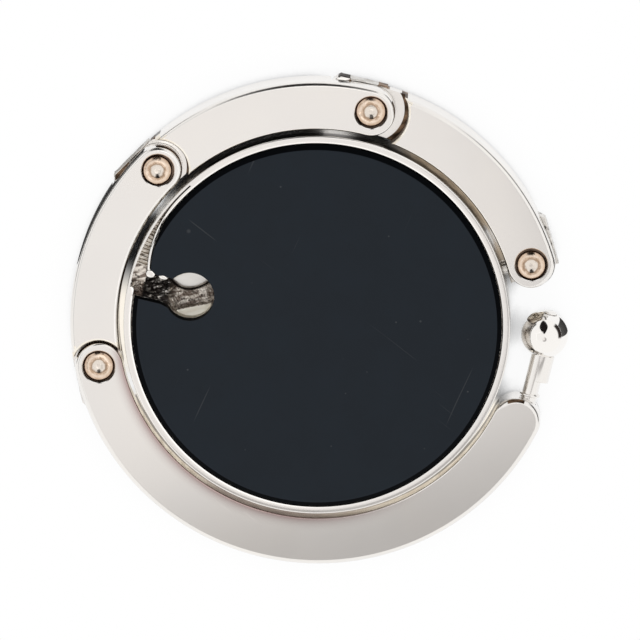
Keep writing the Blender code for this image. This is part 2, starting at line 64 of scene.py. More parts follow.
# Disc
DISC_RADIUS = 0.01795
DISC_HEIGHT = 0.0046
DISC_FRONT_ROUND = 0.0009
RIM_LIP = 0.0007
RIM_ROUND_WIDTH = 0.00012
RIM_ROUND_HEIGHT = 0.00014
RIM_INNER_BEVEL = 0.00007
DISC_FLOOR_TOP = 0.00375
INLAY_RECESS = 0.00082
INLAY_WALL_RADIUS = 0.01366
DISC_SIDE_LOW = 0.0010
DISC_SIDE_MARGIN = 0.00030
RIM_CORNER_ANGLES = (1.4, 6.5)
RIM_CORNER_ROUND = 0.00030
CRUST_ANGLE = 143

# Pad
PAD_TOP = 0.0051
PAD_EDGE = 0.00036
PAD_SIDE_GAP = 0.00010
PAD_BOTTOM = 0.00395

# Plate on the front face
INLAY_RADIUS = 0.01356
INLAY_THICKNESS = 0.00062
INLAY_ROUND = 0.00012

# Keyhole pocket
KEYHOLE_ANGLE = 166.6
BULB_DISTANCE = 0.01211
BULB_RADIUS = 0.00228
BULB_FLOOR = 0.00150
BULB_DISH_DEPTH = 0.0010
NECK_HALF_WIDTH = 0.00130
NECK_FLOOR = 0.0022
NECK_STEP = 0.01635
NECK_STEP_TOP = 0.0034
NECK_LEDGE = 0.00095
NECK_LEDGE_HEIGHT = 0.00080
NECK_LEDGE_FADE = 0.0132
LEAF_EDGE = 0.00012
LEAF_MIDDLE = 0.0006
LEAF_CURVE = 262.0
LEAF_RISE = 0.00030
LEAF_SLOPE = 0.08
LEAF_GROOVE_WIDTH = 0.00011
LEAF_GROOVE_DEPTH = 0.00022
STREAK_HEIGHT = 0.00007
LEDGE_START = 0.00160
LEDGE_SLANT = 0.47
LEDGE_FLOOR = 0.00255
LEDGE_SLOPE = 0.30
FLARE_FLOOR = 0.00262
FLARE_OUTLINE = [(0.0156, 0.00110), (0.0147, 0.00128), (0.0137, 0.00153), (0.0129, 0.00200)]
FLARE_OUTLINE += [(0.0122, 0.0014), (0.0140, 0.0007)]
# Along, across, half length and half width
MOUTH_LUMPS = ((0.01612, -0.00112, 0.00046, 0.00042), (0.01490, -0.00108, 0.00045, 0.00027))
MOUTH_LUMP_TOP = 0.00448
POCKET_CUTTERS = ("keyhole_bulb", "keyhole_neck", "rim_channel", "keyhole_flare")

# Channel in the rim beside the keyhole
CHANNEL_START_ANGLE = 131.5
CHANNEL_FLOOR = 0.0031
CHANNEL_OUTER_WALL = 0.00024
CHANNEL_DEEPEST = 0.00165
CHANNEL_SHALLOWEST = 0.00014
CHANNEL_CURVE = 2.6
CHANNEL_STEPS = 36
CHANNEL_LIP_START = 0.34
CHANNEL_LIP_END = 0.845
CHANNEL_LIP_WIDTH = 0.00030
CHANNEL_LIP_ROUND = 0.00009
RIB_COUNT = 26
RIB_HEIGHT = 0.00024

# Ring of links
LINK_WIDTH = 0.004466
RING_BOTTOM = 0.00070
RING_TOP = 0.00410
LOWER_LAP_TOP = 0.00235
UPPER_LAP_BOTTOM = 0.00247
TOP_BEVEL = 0.00045
BOTTOM_BEVEL = 0.00025
INNER_EDGE_SHARE = {1: 0.30, 2: 0.90, 3: 0.36, 4: 0.36}
SHOULDER_RADIUS = {1: 0.00244, 2: 0.00280, 3: 0.00342}
SHOULDER_BEVEL = 0.00030
GROOVE_WIDTH = {1: 0.00010, 2: 0.00018, 3: 0.00034}
GROOVE_DEPTH = 0.00014
WIDEST_OPENING = 55.0
OPENING_CLEARANCE = 0.00004
HINGE_ANGLES = {1: 191.5, 2: 135.3, 3: 76.0, 4: 16.2}
LAST_LINK_END_ANGLE = 333.5
ARC_STEP_ANGLE = 1.5
ROUND_END_STEPS = 40
CRESCENT_START, CRESCENT_END = 66, 113
# Width of the painted shade by link 1's inner edge
INNER_SHADE_WIDTH = 0.0014

# Ear on each lower lap
EAR_REACH = 0.00410
EAR_BACK = 0.00100
EAR_WIDTH = 0.00100
EAR_CORNER = 0.00060
EAR_SET_BACK = 0.00010
EAR_CLEARANCE = 0.00020
EAR_OUTER = 0.00237
EAR_PIT_DEPTH = 0.00009
EAR_BLACK_START = 0.0025
EAR_BROWN_END = -0.0002

# Rivets
SHANK_RADIUS = 0.00070
SHANK_CLEARANCE = 0.00006
RIVET_HEAD_RADIUS = 0.00130
RIVET_HEAD_HEIGHT = 0.00042
RIVET_HEAD_ROUND = 0.00020
UPPER_HEAD_RADIUS = {1: 0.00145, 2: 0.00139, 3: 0.00145, 4: 0.00137}
RIVET_HEAD_GAP = 0.00005
COUNTERBORE_CLEARANCE = 0.00022
COUNTERBORE_DEPTH = 0.00050
COUNTERBORE_ROUND = 0.00007
DIMPLE_RADIUS = 0.00062
DIMPLE_DEPTH = 0.00024
# Shares of the dimple's radius and depth
DIMPLE_PROFILE = ((1.12, 0.03), (0.98, 0.20), (0.82, 0.5), (0.62, 0.78), (0.4, 0.94), (0.18, 1.0))
RIVET_DENT = 0.00003
RIVET_LEAN = {1: (0.0, 0.00005), 2: (-0.00008, -0.00008), 3: (-0.00002, 0.00006), 4: (0.0, -0.00012)}

# Root lug
SWIVEL_GAP = 0.00035
LUG_NECK_HALF_WIDTH = 0.00155
LUG_NECK_SET_BACK = 0.00006
STUD_RADIUS = 0.00065
STUD_CLEARANCE = 0.00006
STUD_INNER_END = 0.01466
STUD_PEEN = 0.00018
STUD_SUNK_LENGTH = 0.0007
STUD_BORE_START = 0.01588
POCKET_INNER = 0.01454
RIM_WALL = 0.00195
POCKET_HALF_WIDTH = 0.00117
SWIVEL_HEIGHT = 0.001525

# Ball and stem on the last link
BALL_RADIUS = 0.00220
BALL_SEAT = 0.00185
BALL_TOP = 0.00205
BALL_GAP = 0.00004
STEM_RADIUS = 0.00075
STEM_LENGTH = 0.00627
STEM_ROOT_ANGLE = 59.2
STEM_ANGLE = 76.5
STEM_BORE_CLEARANCE = 0.00005
STEM_SUNK_LENGTH = 0.00150
STEM_WIDE_LENGTH = 0.00255
STEM_WIDE_OFFSET = 0.00066
STEM_WIDE_CURVE = 0.86
STEM_COLLAR_RADIUS = 0.00096
STEM_COLLAR_HEIGHT = 0.00022
STEM_COLLAR_LIFT = 0.00032
SPIGOT_RADIUS = 0.00050
NUB_RADIUS = 0.00070
NUB_HEIGHT = 0.00022
BALL_SPRUE = (-0.00084, 0.00182, 0.00075)
BALL_SPRUE_SIZE = (0.00080, 0.00036, 0.00070)
BALL_SPRUE_TURN = 22

# Lamp
LAMP_PLACE = (-0.0440, 0.0016, 0.15)
LAMP_SIZE = 0.12
LAMP_TURN = 14.5
LAMP_GLOW = 0.495

# Camera
TOWARDS_CAMERA = (0.0201, 0.2184, 0.9757)
MIRRORED_CAMERA = (-0.0201, -0.2184, 0.9757)
CAMERA_TARGET = (0.00031, 0.00066, 0.0051)
CAMERA_DISTANCE = 1.0
SENSOR_WIDTH = 36
PICTURE_PIXELS = 640
PIXEL_SIZE = 0.0000927

# Material slots
DISC_RIM, DISC_RAW, DISC_LUMPS, DISC_GROOVE_SHADE, DISC_SIDE, DISC_CREAM, DISC_LEAF = range(7)
LINK_NICKEL, LINK_BLACK_SHADE, LINK_SHADED, LINK_COUNTERBORE, LINK_EAR, LINK_BROWN = range(6)
PAD_CUT_EDGE = 1
BALL_STUB = 1

OVERRUN = 0.0010
CUTTER_TOP = PAD_TOP + OVERRUN
CHANNEL_OUTER = DISC_RADIUS - CHANNEL_OUTER_WALL
CHANNEL_SWEEP = KEYHOLE_ANGLE - CHANNEL_START_ANGLE
PITCH_RADIUS = 0.02070
ROUND_RADIUS = LINK_WIDTH / 2
RING_INNER = PITCH_RADIUS - ROUND_RADIUS
RING_OUTER = PITCH_RADIUS + ROUND_RADIUS
RING_MIDDLE = (RING_BOTTOM + RING_TOP) / 2
RECESS_RADIUS = DISC_RADIUS - RIM_LIP
BALL_ANGLE = -2

# Dark parts of the tent: azimuth, full within, gone at, and top, then aim, width and height
DARK_SECTORS = ((155, 22, 33, 0.34), (17, 23, 33, 0.40))
DARK_OPENING = ((-0.075, 0.759, 0.647), 19, 35)
# Name, distance and azimuth of the middle, inner and outer radius, start and end
DARK_CARDS = (
    ("dark_card_left", 0, 0, 0.0230, 0.0600, 135, 168),
    ("dark_card_right", PITCH_RADIUS, BALL_ANGLE, 0.0034, 0.4000, -9, 34),
)


# ---- shapes


def polar(radius, degrees):
    angle = math.radians(degrees)
    return Vector((radius * math.cos(angle), radius * math.sin(angle), 0))


def arc(centre, radius, start, end, steps):
    angles = [start + (end - start) * step / steps for step in range(steps + 1)]
    return [centre + polar(radius, angle) for angle in angles]


def corner(centre, radius, start, end, steps, height=None):
    """Profile points (radius, height) on a rounded corner, or on part of an ellipse."""
    tall = radius if height is None else height
    angles = [math.radians(start + (end - start) * step / steps) for step in range(steps + 1)]
    return [(centre[0] + radius * math.cos(a), centre[1] + tall * math.sin(a)) for a in angles]


def hinge_frame(degrees):
    """Maps (along the ring, outward, up) at a hinge to the frame's axes."""
    outward = polar(1, degrees)
    along = Vector((-outward.y, outward.x, 0))
    turn = Matrix((along, outward, Vector((0, 0, 1)))).transposed().to_4x4()
    return Matrix.Translation(PITCH_RADIUS * outward) @ turn


def radial_frame(degrees, height):
    lift = Matrix.Translation((0, 0, height))
    return lift @ Matrix.Rotation(math.radians(degrees), 4, "Z") @ Matrix.Rotation(math.pi / 2, 4, "Y")


def keyhole_frame(distance=0.0):
    """Maps (outward, across, up) at the keyhole to the frame's axes."""
    turn = Matrix.Rotation(math.radians(KEYHOLE_ANGLE), 4, "Z")
    return Matrix.Translation(polar(distance, KEYHOLE_ANGLE)) @ turn


def stem_frame():
    axis = polar(1, STEM_ANGLE)
    outer_side = polar(1, STEM_ANGLE - 90)
    turn = Matrix((outer_side, axis.cross(outer_side), axis)).transposed().to_4x4()
    centre = polar(PITCH_RADIUS, LAST_LINK_END_ANGLE)
    root = centre + polar(ROUND_RADIUS, STEM_ROOT_ANGLE) + Vector((0, 0, RING_MIDDLE))
    return Matrix.Translation(root) @ turn


def new_piece(name, shape, placed=None):
    if placed:
        shape.transform(placed)
    shape.normal_update()
    bmesh.ops.recalc_face_normals(shape, faces=shape.faces)
    mesh = bpy.data.meshes.new(name)
    shape.to_mesh(mesh)
    shape.free()
    piece = bpy.data.objects.new(name, mesh)
    bpy.context.scene.collection.objects.link(piece)
    return piece


def pulled_out(shape, faces):
    """Extrudes the faces and returns their new corners, still in the old place."""
    grown = bmesh.ops.extrude_face_region(shape, geom=faces)["geom"]
    return [item for item in grown if isinstance(item, bmesh.types.BMVert)]


def extruded(outline, bottom, top, top_bevel=0, bottom_bevel=0, segments=5):
    shape = bmesh.new()
    face = shape.faces.new([shape.verts.new((point[0], point[1], bottom)) for point in outline])
    upper = set(pulled_out(shape, [face]))
    bmesh.ops.translate(shape, verts=list(upper), vec=(0, 0, top - bottom))
    top_edges = [edge for edge in shape.edges if set(edge.verts) <= upper]
    bottom_edges = [edge for edge in shape.edges if not set(edge.verts) & upper]
    for edges, width in ((top_edges, top_bevel), (bottom_edges, bottom_bevel)):
        if width:
            bmesh.ops.bevel(shape, geom=edges, offset=width, segments=segments, profile=0.5, affect="EDGES")
    return shape


def prism(name, outline, bottom, top, top_bevel=0, bottom_bevel=0, segments=5, placed=None):
    return new_piece(name, extruded(outline, bottom, top, top_bevel, bottom_bevel, segments), placed)


def turned(name, profile, segments=64, placed=None, ring=False):
    """Spins a profile of (radius, height) points about Z. A ring closes on itself, others get flat ends."""
    shape = bmesh.new()
    points = [shape.verts.new((radius, 0, height)) for radius, height in profile]
    ends = list(zip(points, points[1:])) + ([(points[-1], points[0])] if ring else [])
    whole = points + [shape.edges.new(pair) for pair in ends]
    spin = {"cent": (0, 0, 0), "axis": (0, 0, 1), "angle": 2 * math.pi, "steps": segments, "use_merge": True}
    bmesh.ops.spin(shape, geom=whole, **spin)
    bmesh.ops.holes_fill(shape, edges=shape.edges)
    return new_piece(name, shape, placed)


def with_floor(name, shape, floor, placed):
    """Turns a flat sheet into a cutter whose underside follows floor(x, y)."""
    for vert in shape.verts:
        vert.co.z = floor(vert.co.x, vert.co.y)
    for vert in pulled_out(shape, list(shape.faces)):
        vert.co.z = CUTTER_TOP
    return new_piece(name, shape, placed)


def cut(piece, operation, *tools):
    for tool in tools:
        modifier = piece.modifiers.new(tool.name, "BOOLEAN")
        modifier.operation = operation
        modifier.object = tool
        modifier.solver = "EXACT"


def settle(piece, sharp=30, weighted=True):
    """Keeps the cut shape as a mesh, with its hard edges sharp and its flat faces flat."""
    bpy.context.view_layer.update()
    shown = piece.evaluated_get(bpy.context.evaluated_depsgraph_get())
    mesh = bpy.data.meshes.new_from_object(shown)
    mesh.name = piece.name
    piece.modifiers.clear()
    piece.data = mesh
    mesh.materials.clear()
    mesh.shade_smooth()
    mesh.set_sharp_from_angle(angle=math.radians(sharp))
    if weighted:
        modifier = piece.modifiers.new("even_faces", "WEIGHTED_NORMAL")
        modifier.keep_sharp = True
        modifier.weight = 100
    return piece


def rough(point, scale, octaves=3):
    return noise.fractal(Vector(point) * scale, 0.6, 2.1, octaves)


# ---- pockets


def leaf_edge(x):
    """Where the curved edge of the leaf lies across the bulb, at x along the keyhole."""
    return LEAF_EDGE - LEAF_CURVE * (x - LEAF_MIDDLE) ** 2


def bulb_floor(x, y):
    """Dished floor with a smooth leaf on one side of a groove and rough casting on the other."""
    share = min(1.0, math.hypot(x, y) / BULB_RADIUS)
    height = BULB_FLOOR + BULB_DISH_DEPTH * max(0.0, (share - 0.3) / 0.7) ** 2
    edge = leaf_edge(x)
    beyond = (y - edge) / LEAF_GROOVE_WIDTH
    groove = math.exp(-beyond * beyond)
    if beyond < 0:
        height = BULB_FLOOR + LEAF_RISE * (1 - math.exp(beyond)) + LEAF_SLOPE * (edge - y)
    else:
        streak = rough(((x + y) * 1.6, (y - x) * 0.30, 3.1), 2600)
        height += STREAK_HEIGHT * streak * min(1.0, beyond)
        ledge = y - LEDGE_START - LEDGE_SLANT * x
        if ledge > 0:
            height = max(height, LEDGE_FLOOR) + LEDGE_SLOPE * ledge
    return height - LEAF_GROOVE_DEPTH * groove


def soft_step(beyond, height=1):
    """Rises from 0 to height where beyond passes 0."""
    return height / (1 + math.exp(-beyond / 0.00005))


def neck_floor(x, y):
    """Rough cast floor with a ledge along one side, which fades out at the bulb, and a step up at the rim."""
    lift = 0.00020 * rough((x, y, 7.7), 2300) + 0.00008 * rough((x, y, 1.7), 8000, 2)
    ledge = soft_step(y - NECK_LEDGE, NECK_LEDGE_HEIGHT)
    if x < NECK_LEDGE_FADE + 0.0006:
        ledge *= max(0.0, (x - NECK_LEDGE_FADE) / 0.0006)
    step = soft_step(x - NECK_STEP - 0.00010 * rough((0, y, 2.2), 3000))
    return (NECK_FLOOR + ledge) * (1 - step) + NECK_STEP_TOP * step + lift


def keyhole_bulb():
    shape = bmesh.new()
    rings, segments = 30, 120
    centre = shape.verts.new((0, 0, 0))
    last = None
    for step in range(1, rings + 1):
        radius = BULB_RADIUS * step / rings
        ring = [shape.verts.new(polar(radius, 360 * s / segments)) for s in range(segments)]
        for s in range(segments):
            t = (s + 1) % segments
            if last:
                shape.faces.new((last[s], ring[s], ring[t], last[t]))
            else:
                shape.faces.new((centre, ring[s], ring[t]))
        last = ring
    return with_floor("keyhole_bulb", shape, bulb_floor, keyhole_frame(BULB_DISTANCE))


def keyhole_neck():
    shape = bmesh.new()
    size = Vector((CHANNEL_OUTER - BULB_DISTANCE, 2 * NECK_HALF_WIDTH, 1))
    middle = Matrix.Translation(((BULB_DISTANCE + CHANNEL_OUTER) / 2, 0, 0))
    place = middle @ Matrix.Diagonal(size).to_4x4()
    bmesh.ops.create_grid(shape, x_segments=70, y_segments=36, size=0.5, matrix=place)
    return with_floor("keyhole_neck", shape, neck_floor, keyhole_frame())


def channel_depth(share):
    return CHANNEL_SHALLOWEST + (CHANNEL_DEEPEST - CHANNEL_SHALLOWEST) * share**CHANNEL_CURVE


def channel_edge(share, offset=0.0):
    radius = CHANNEL_OUTER - channel_depth(share) - offset
    return polar(radius, CHANNEL_START_ANGLE + CHANNEL_SWEEP * share)


def rim_channel():
    shares = [step / CHANNEL_STEPS for step in range(CHANNEL_STEPS + 1)]
    outer = [polar(CHANNEL_OUTER, CHANNEL_START_ANGLE + CHANNEL_SWEEP * share) for share in shares]
    inner = [channel_edge(share) for share in reversed(shares)]
    return prism("rim_channel", outer + inner, CHANNEL_FLOOR, CUTTER_TOP)


def channel_lip(extra=0.0, top=DISC_HEIGHT, name="channel_lip"):
    """Thin wall between the channel and the pad, which ends in a round lump at the keyhole."""
    shares = [CHANNEL_LIP_START + (CHANNEL_LIP_END - CHANNEL_LIP_START) * step / 40 for step in range(41)]
    near = [channel_edge(share, -0.00001) for share in shares]
    widths = [CHANNEL_LIP_WIDTH * min(1, 6 * (share - shares[0]) + 0.2) + extra for share in shares]
    far = [channel_edge(share, width) for share, width in zip(shares, widths)]
    middle = (near[-1] + far[-1]) / 2
    swell = (near[-1] - far[-1]).length / 2
    facing = math.degrees(math.atan2(*reversed((near[-1] - far[-1]).to_2d())))
    end = arc(middle, swell, facing, facing + 180, 12)[1:-1]
    if (end[5] - middle).dot(near[-1] - near[-2]) < 0:
        end = arc(middle, swell, facing, facing - 180, 12)[1:-1]
    soft = 0 if extra else CHANNEL_LIP_ROUND
    return prism(name, near + end + far[::-1], DISC_FLOOR_TOP - 0.0008, top, soft, 0, 3)


def channel_ribs():
    """Fine ribs across the channel's floor, a little uneven as cast."""
    shape = bmesh.new()
    last = KEYHOLE_ANGLE - math.degrees(math.asin(NECK_HALF_WIDTH / CHANNEL_OUTER))
    pitch = (last - CHANNEL_START_ANGLE) / (RIB_COUNT + 1)
    sink = CHANNEL_SHALLOWEST
    for rib in range(RIB_COUNT):
        wander = noise.noise(Vector((rib * 1.7, 0.3, 0.9)))
        middle = CHANNEL_START_ANGLE + pitch * (rib + 1 + 0.16 * wander)
        depth = channel_depth((middle - CHANNEL_START_ANGLE) / CHANNEL_SWEEP)
        half = CHANNEL_OUTER * math.radians(pitch) * (0.27 + 0.07 * wander)
        rise = RIB_HEIGHT * (1 + 0.35 * noise.noise(Vector((rib * 2.3, 5.1, 0))))
        outline = [(-half, -sink), (half, -sink), (half * 0.9, rise * 0.6), (half * 0.4, rise)]
        outline += [(-half * 0.4, rise), (-half * 0.9, rise * 0.6)]
        near, far = CHANNEL_OUTER - depth - sink, CHANNEL_OUTER + sink
        face = shape.faces.new([shape.verts.new((near, u, CHANNEL_FLOOR + w)) for u, w in outline])
        fresh = pulled_out(shape, [face])
        bmesh.ops.translate(shape, verts=fresh, vec=(far - near, 0, 0))
        turn = Matrix.Rotation(math.radians(middle), 3, "Z")
        bmesh.ops.rotate(shape, verts=list(set(fresh + list(face.verts))), matrix=turn)
    return new_piece("channel_ribs", shape)


def mouth_lump(number, name="mouth_lump", extra=0.0, bottom=0.0023, top=MOUTH_LUMP_TOP, soft=0.00016):
    """A rounded lump of casting left where the neck meets the channel, or with extra, the room round it."""
    along, across, long, wide = MOUTH_LUMPS[number]
    turns = [math.radians(9 * step) for step in range(40)]
    outline = [(along + (long + extra) * math.cos(t), across + (wide + extra) * math.sin(t)) for t in turns]
    return prism(f"{name}_{number}", outline, bottom, top, soft, 0, 4, keyhole_frame())


def keyhole_flare():
    """Widens the neck's lower side where it runs into the bulb."""
    return prism("keyhole_flare", FLARE_OUTLINE, FLARE_FLOOR, CUTTER_TOP, placed=keyhole_frame())


def lump_clearance(number):
    return mouth_lump(number, "lump_clearance", 0.00004, 0.0035, CUTTER_TOP, 0)


def rim_corner():
    """End of the full-width rim beside the keyhole, rounded where the thin wall begins."""
    start, end = [KEYHOLE_ANGLE + angle for angle in RIM_CORNER_ANGLES]
    outer, inner, soft = DISC_RADIUS - 0.00012, RECESS_RADIUS + 0.00002, RIM_CORNER_ROUND
    rounded = start + math.degrees(soft / inner)
    outline = arc(Vector(), outer, start, end, 8) + arc(Vector(), inner, end, rounded, 8)
    outline += arc(polar(inner + soft, rounded), soft, start + 180, start + 270, 6)[1:]
    return prism("rim_corner", outline, CHANNEL_FLOOR - 0.0009, DISC_HEIGHT - 0.00001, 0.00010, 0, 3)


# ---- disc


def disc_shell():
    profile = [(INLAY_WALL_RADIUS, INLAY_RECESS), (INLAY_WALL_RADIUS, INLAY_ROUND)]
    profile += corner((INLAY_WALL_RADIUS + INLAY_ROUND, INLAY_ROUND), INLAY_ROUND, 180, 270, 4)[1:]
    profile += corner((DISC_RADIUS - DISC_FRONT_ROUND, DISC_FRONT_ROUND), DISC_FRONT_ROUND, -90, 0, 10)
    rim = (DISC_RADIUS - RIM_ROUND_WIDTH, DISC_HEIGHT - RIM_ROUND_HEIGHT)
    profile += corner(rim, RIM_ROUND_WIDTH, 0, 90, 6, RIM_ROUND_HEIGHT)
    inner = (RECESS_RADIUS + RIM_INNER_BEVEL, DISC_HEIGHT - RIM_INNER_BEVEL)
    profile += corner(inner, RIM_INNER_BEVEL, 90, 180, 3)
    profile.append((RECESS_RADIUS, DISC_FLOOR_TOP))
    disc = turned("disc_shell", profile, 240)
    cut(disc, "DIFFERENCE", keyhole_bulb(), keyhole_neck(), rim_channel(), keyhole_flare())
    wide = STUD_RADIUS + STUD_CLEARANCE
    bore = [(wide, STUD_BORE_START), (wide, DISC_RADIUS + OVERRUN)]
    cut(disc, "DIFFERENCE", turned("stud_bore", bore, 48, radial_frame(HINGE_ANGLES[4], SWIVEL_HEIGHT)))
    half = POCKET_HALF_WIDTH
    near, far = POCKET_INNER, DISC_RADIUS - RIM_WALL
    outline = [(near, -half), (far, -half), (far, half), (near, half)]
    turn = Matrix.Rotation(math.radians(HINGE_ANGLES[4]), 4, "Z")
    cut(disc, "DIFFERENCE", prism("collar_pocket", outline, SWIVEL_HEIGHT - half, PAD_TOP, placed=turn))
    cut(disc, "UNION", channel_ribs(), channel_lip(), mouth_lump(0), mouth_lump(1), rim_corner())
    settle(disc, 35)
    to_bulb = keyhole_frame(BULB_DISTANCE).inverted()
    for face in disc.data.polygons:
        height, reach = face.center.z, math.hypot(face.center.x, face.center.y)
        if DISC_SIDE_LOW < height < DISC_HEIGHT - 0.00012 and reach < DISC_RADIUS - DISC_SIDE_MARGIN:
            face.material_index = pocket_finish(to_bulb @ face.center)
        elif DISC_SIDE_LOW < height < DISC_HEIGHT - DISC_SIDE_MARGIN and abs(face.normal.z) < 0.1:
            face.material_index = DISC_SIDE
    return disc


def pocket_finish(point):
    """Slot of a face in the pocket, by its place from the bulb's middle."""
    if math.hypot(point.x, point.y) > BULB_RADIUS + 0.00002:
        lump = point.y < -0.00066 and 0.0022 < point.x < 0.0046 and point.z > 0.0041
        rim = point.x > 0.0052 and point.y > 0.0003 and point.z > CHANNEL_FLOOR + 0.0004
        return DISC_LUMPS if lump else DISC_RIM if rim else DISC_RAW
    beyond = point.y - leaf_edge(point.x)
    # The groove along the leaf's edge takes painted shade
    if abs(beyond) < 0.00009:
        return DISC_GROOVE_SHADE
    if beyond < 0:
        return DISC_LEAF
    return DISC_CREAM if point.y > LEDGE_START + 0.00008 + LEDGE_SLANT * point.x else DISC_RAW


def pad_disc():
    radius = RECESS_RADIUS - PAD_SIDE_GAP
    lip = 0.00010
    profile = [(radius, PAD_BOTTOM), (radius, PAD_TOP - PAD_EDGE - lip)]
    profile += corner((radius - lip, PAD_TOP - PAD_EDGE - lip / 2), lip, 0, 45, 3)
    profile += corner((radius - PAD_EDGE - lip, PAD_TOP - lip), lip, 45, 90, 3)
    pad = turned("pad_disc", profile, 240)
    cut(pad, "DIFFERENCE", *[bpy.data.objects[name] for name in POCKET_CUTTERS])
    cut(pad, "DIFFERENCE", channel_lip(0.00006, CUTTER_TOP, "lip_clearance"))
    cut(pad, "DIFFERENCE", lump_clearance(0), lump_clearance(1))
    settle(pad, 35)
    for face in pad.data.polygons:
        if face.normal.z < 0.9:
            face.material_index = PAD_CUT_EDGE
    return pad


def front_plate():
    profile = corner((INLAY_RADIUS - INLAY_ROUND, INLAY_ROUND), INLAY_ROUND, -90, 0, 5)
    profile.append((INLAY_RADIUS, INLAY_THICKNESS))
    return settle(turned("front_plate", profile, 240), 40)


# ---- ring


def band_outline(start, end):
    steps = max(2, round(abs(end - start) / ARC_STEP_ANGLE))
    outline = arc(Vector(), RING_OUTER, start, end, steps)
    outline += arc(polar(PITCH_RADIUS, end), ROUND_RADIUS, end, end + 180, ROUND_END_STEPS)[1:-1]
    outline += arc(Vector(), RING_INNER, end, start, steps)
    outline += arc(polar(PITCH_RADIUS, start), ROUND_RADIUS, start + 180, start + 360, ROUND_END_STEPS)[1:-1]
    return outline


def ear(hinge):
    """Ear of a lower lap, with the worn and pitted sides of the casting."""
    reach, outer = EAR_REACH, EAR_OUTER
    inner = outer - EAR_WIDTH
    outline = [(-EAR_BACK, inner), (reach, inner), (reach, outer - EAR_CORNER)]
    outline += [(reach - EAR_CORNER, outer), (-EAR_BACK, outer)]
    shape = extruded(outline, RING_BOTTOM + EAR_SET_BACK, LOWER_LAP_TOP - EAR_SET_BACK, 0.0001, 0.0001, 2)
    long_edges = [edge for edge in shape.edges if edge.calc_length() > 0.0005]
    bmesh.ops.subdivide_edges(shape, edges=long_edges, cuts=9, use_grid_fill=True)
    shape.normal_update()
    for vert in shape.verts:
        pit = max(0.0, rough(vert.co + Vector((hinge, 0, 0)), 2600))
        vert.co -= vert.normal * EAR_PIT_DEPTH * min(1.0, pit)
    return new_piece(f"ear_{hinge}", shape, hinge_frame(HINGE_ANGLES[hinge]))


def rivet_hole(hinge):
    bore = SHANK_RADIUS + SHANK_CLEARANCE
    wide = RIVET_HEAD_RADIUS + COUNTERBORE_CLEARANCE
    soft, run = COUNTERBORE_ROUND, COUNTERBORE_ROUND + OVERRUN
    lower = [(wide + run, RING_BOTTOM + soft - run), (wide, RING_BOTTOM + soft)]
    lower += [(radius, RING_BOTTOM + COUNTERBORE_DEPTH) for radius in (wide, bore)]
    upper = [(radius, RING_TOP - COUNTERBORE_DEPTH) for radius in (bore, wide)]
    upper += [(wide, RING_TOP - soft), (wide + run, RING_TOP - soft + run)]
    return turned(f"rivet_hole_{hinge}", lower + upper, 72, hinge_frame(HINGE_ANGLES[hinge]))


def rounded_flare(radius, level, size, direction):
    """Profile from a cutter's wall into a rounded edge that ends level with the face, then on past it."""
    points = []
    for step in range(7):
        turn = math.radians(90 * step / 7)
        points.append((radius + size * (1 - math.cos(turn)), level + direction * size * math.sin(turn)))
    last = points[-1]
    points.append((last[0] + OVERRUN, last[1] + direction * OVERRUN * 0.35))
    return points


def shoulder_cutter(hinge):
    """Cuts the step above a lower lap, with a groove at the step's foot."""
    radius = SHOULDER_RADIUS[hinge]
    inner, floor = radius - GROOVE_WIDTH[hinge], LOWER_LAP_TOP - GROOVE_DEPTH
    profile = [(inner, LOWER_LAP_TOP), (inner, floor), (radius, floor)]
    profile += rounded_flare(radius, RING_TOP - SHOULDER_BEVEL, SHOULDER_BEVEL, 1)
    return turned(f"shoulder_cutter_{hinge}", profile, 96, hinge_frame(HINGE_ANGLES[hinge]))


def underside_cutter(hinge):
    radius = math.hypot(EAR_REACH, EAR_OUTER - EAR_CORNER) + EAR_CLEARANCE
    size = BOTTOM_BEVEL * 0.85
    profile = rounded_flare(radius, RING_BOTTOM + size, size, -1)[::-1]
    profile.append((radius, UPPER_LAP_BOTTOM))
    return turned(f"underside_cutter_{hinge}", profile, 96, hinge_frame(HINGE_ANGLES[hinge]))


def opening_relief():
    """Clears the corner of link 2's shoulder that link 1's side meets when it is folded right out."""
    hinge = polar(PITCH_RADIUS, HINGE_ANGLES[1])
    beside, along = [polar(1, HINGE_ANGLES[1] + turn - WIDEST_OPENING) for turn in (0, 90)]
    near, far = 0.0010, ROUND_RADIUS + OPENING_CLEARANCE
    outline = [hinge + beside * out + along * run for out, run in ((near, 0), (far, 0), (far, 0.003), (near, 0.003))]
    return prism("opening_relief", outline, LOWER_LAP_TOP + 0.00003, RING_TOP + OVERRUN)


def stem_bore():
    radius = STEM_RADIUS + STEM_BORE_CLEARANCE
    profile = [(radius, -STEM_SUNK_LENGTH - STEM_BORE_CLEARANCE), (radius, STEM_LENGTH)]
    return turned("stem_bore", profile, 48, stem_frame())


def fine_inner_edge(body, start, end, fine):
    """Shrinks the top bevel to the share fine on the side that faces the disc, but not past the free end."""
    for vert in body.data.vertices:
        if vert.co.z < RING_TOP - TOP_BEVEL - 1e-6:
            continue
        around = math.degrees(math.atan2(vert.co.y, vert.co.x)) % 360
        outward = polar(1, min(max(around, start), end))
        offset = vert.co - PITCH_RADIUS * outward
        offset.z = 0
        side = min(1.0, max(0.0, 0.5 + 1.4 * offset.normalized().dot(outward), (around - end) / 2.5))
        share = fine + (1 - fine) * side
        offset *= (ROUND_RADIUS - (ROUND_RADIUS - offset.length) * share) / offset.length
        placed = PITCH_RADIUS * outward + offset
        vert.co = (placed.x, placed.y, RING_TOP - (RING_TOP - vert.co.z) * share)


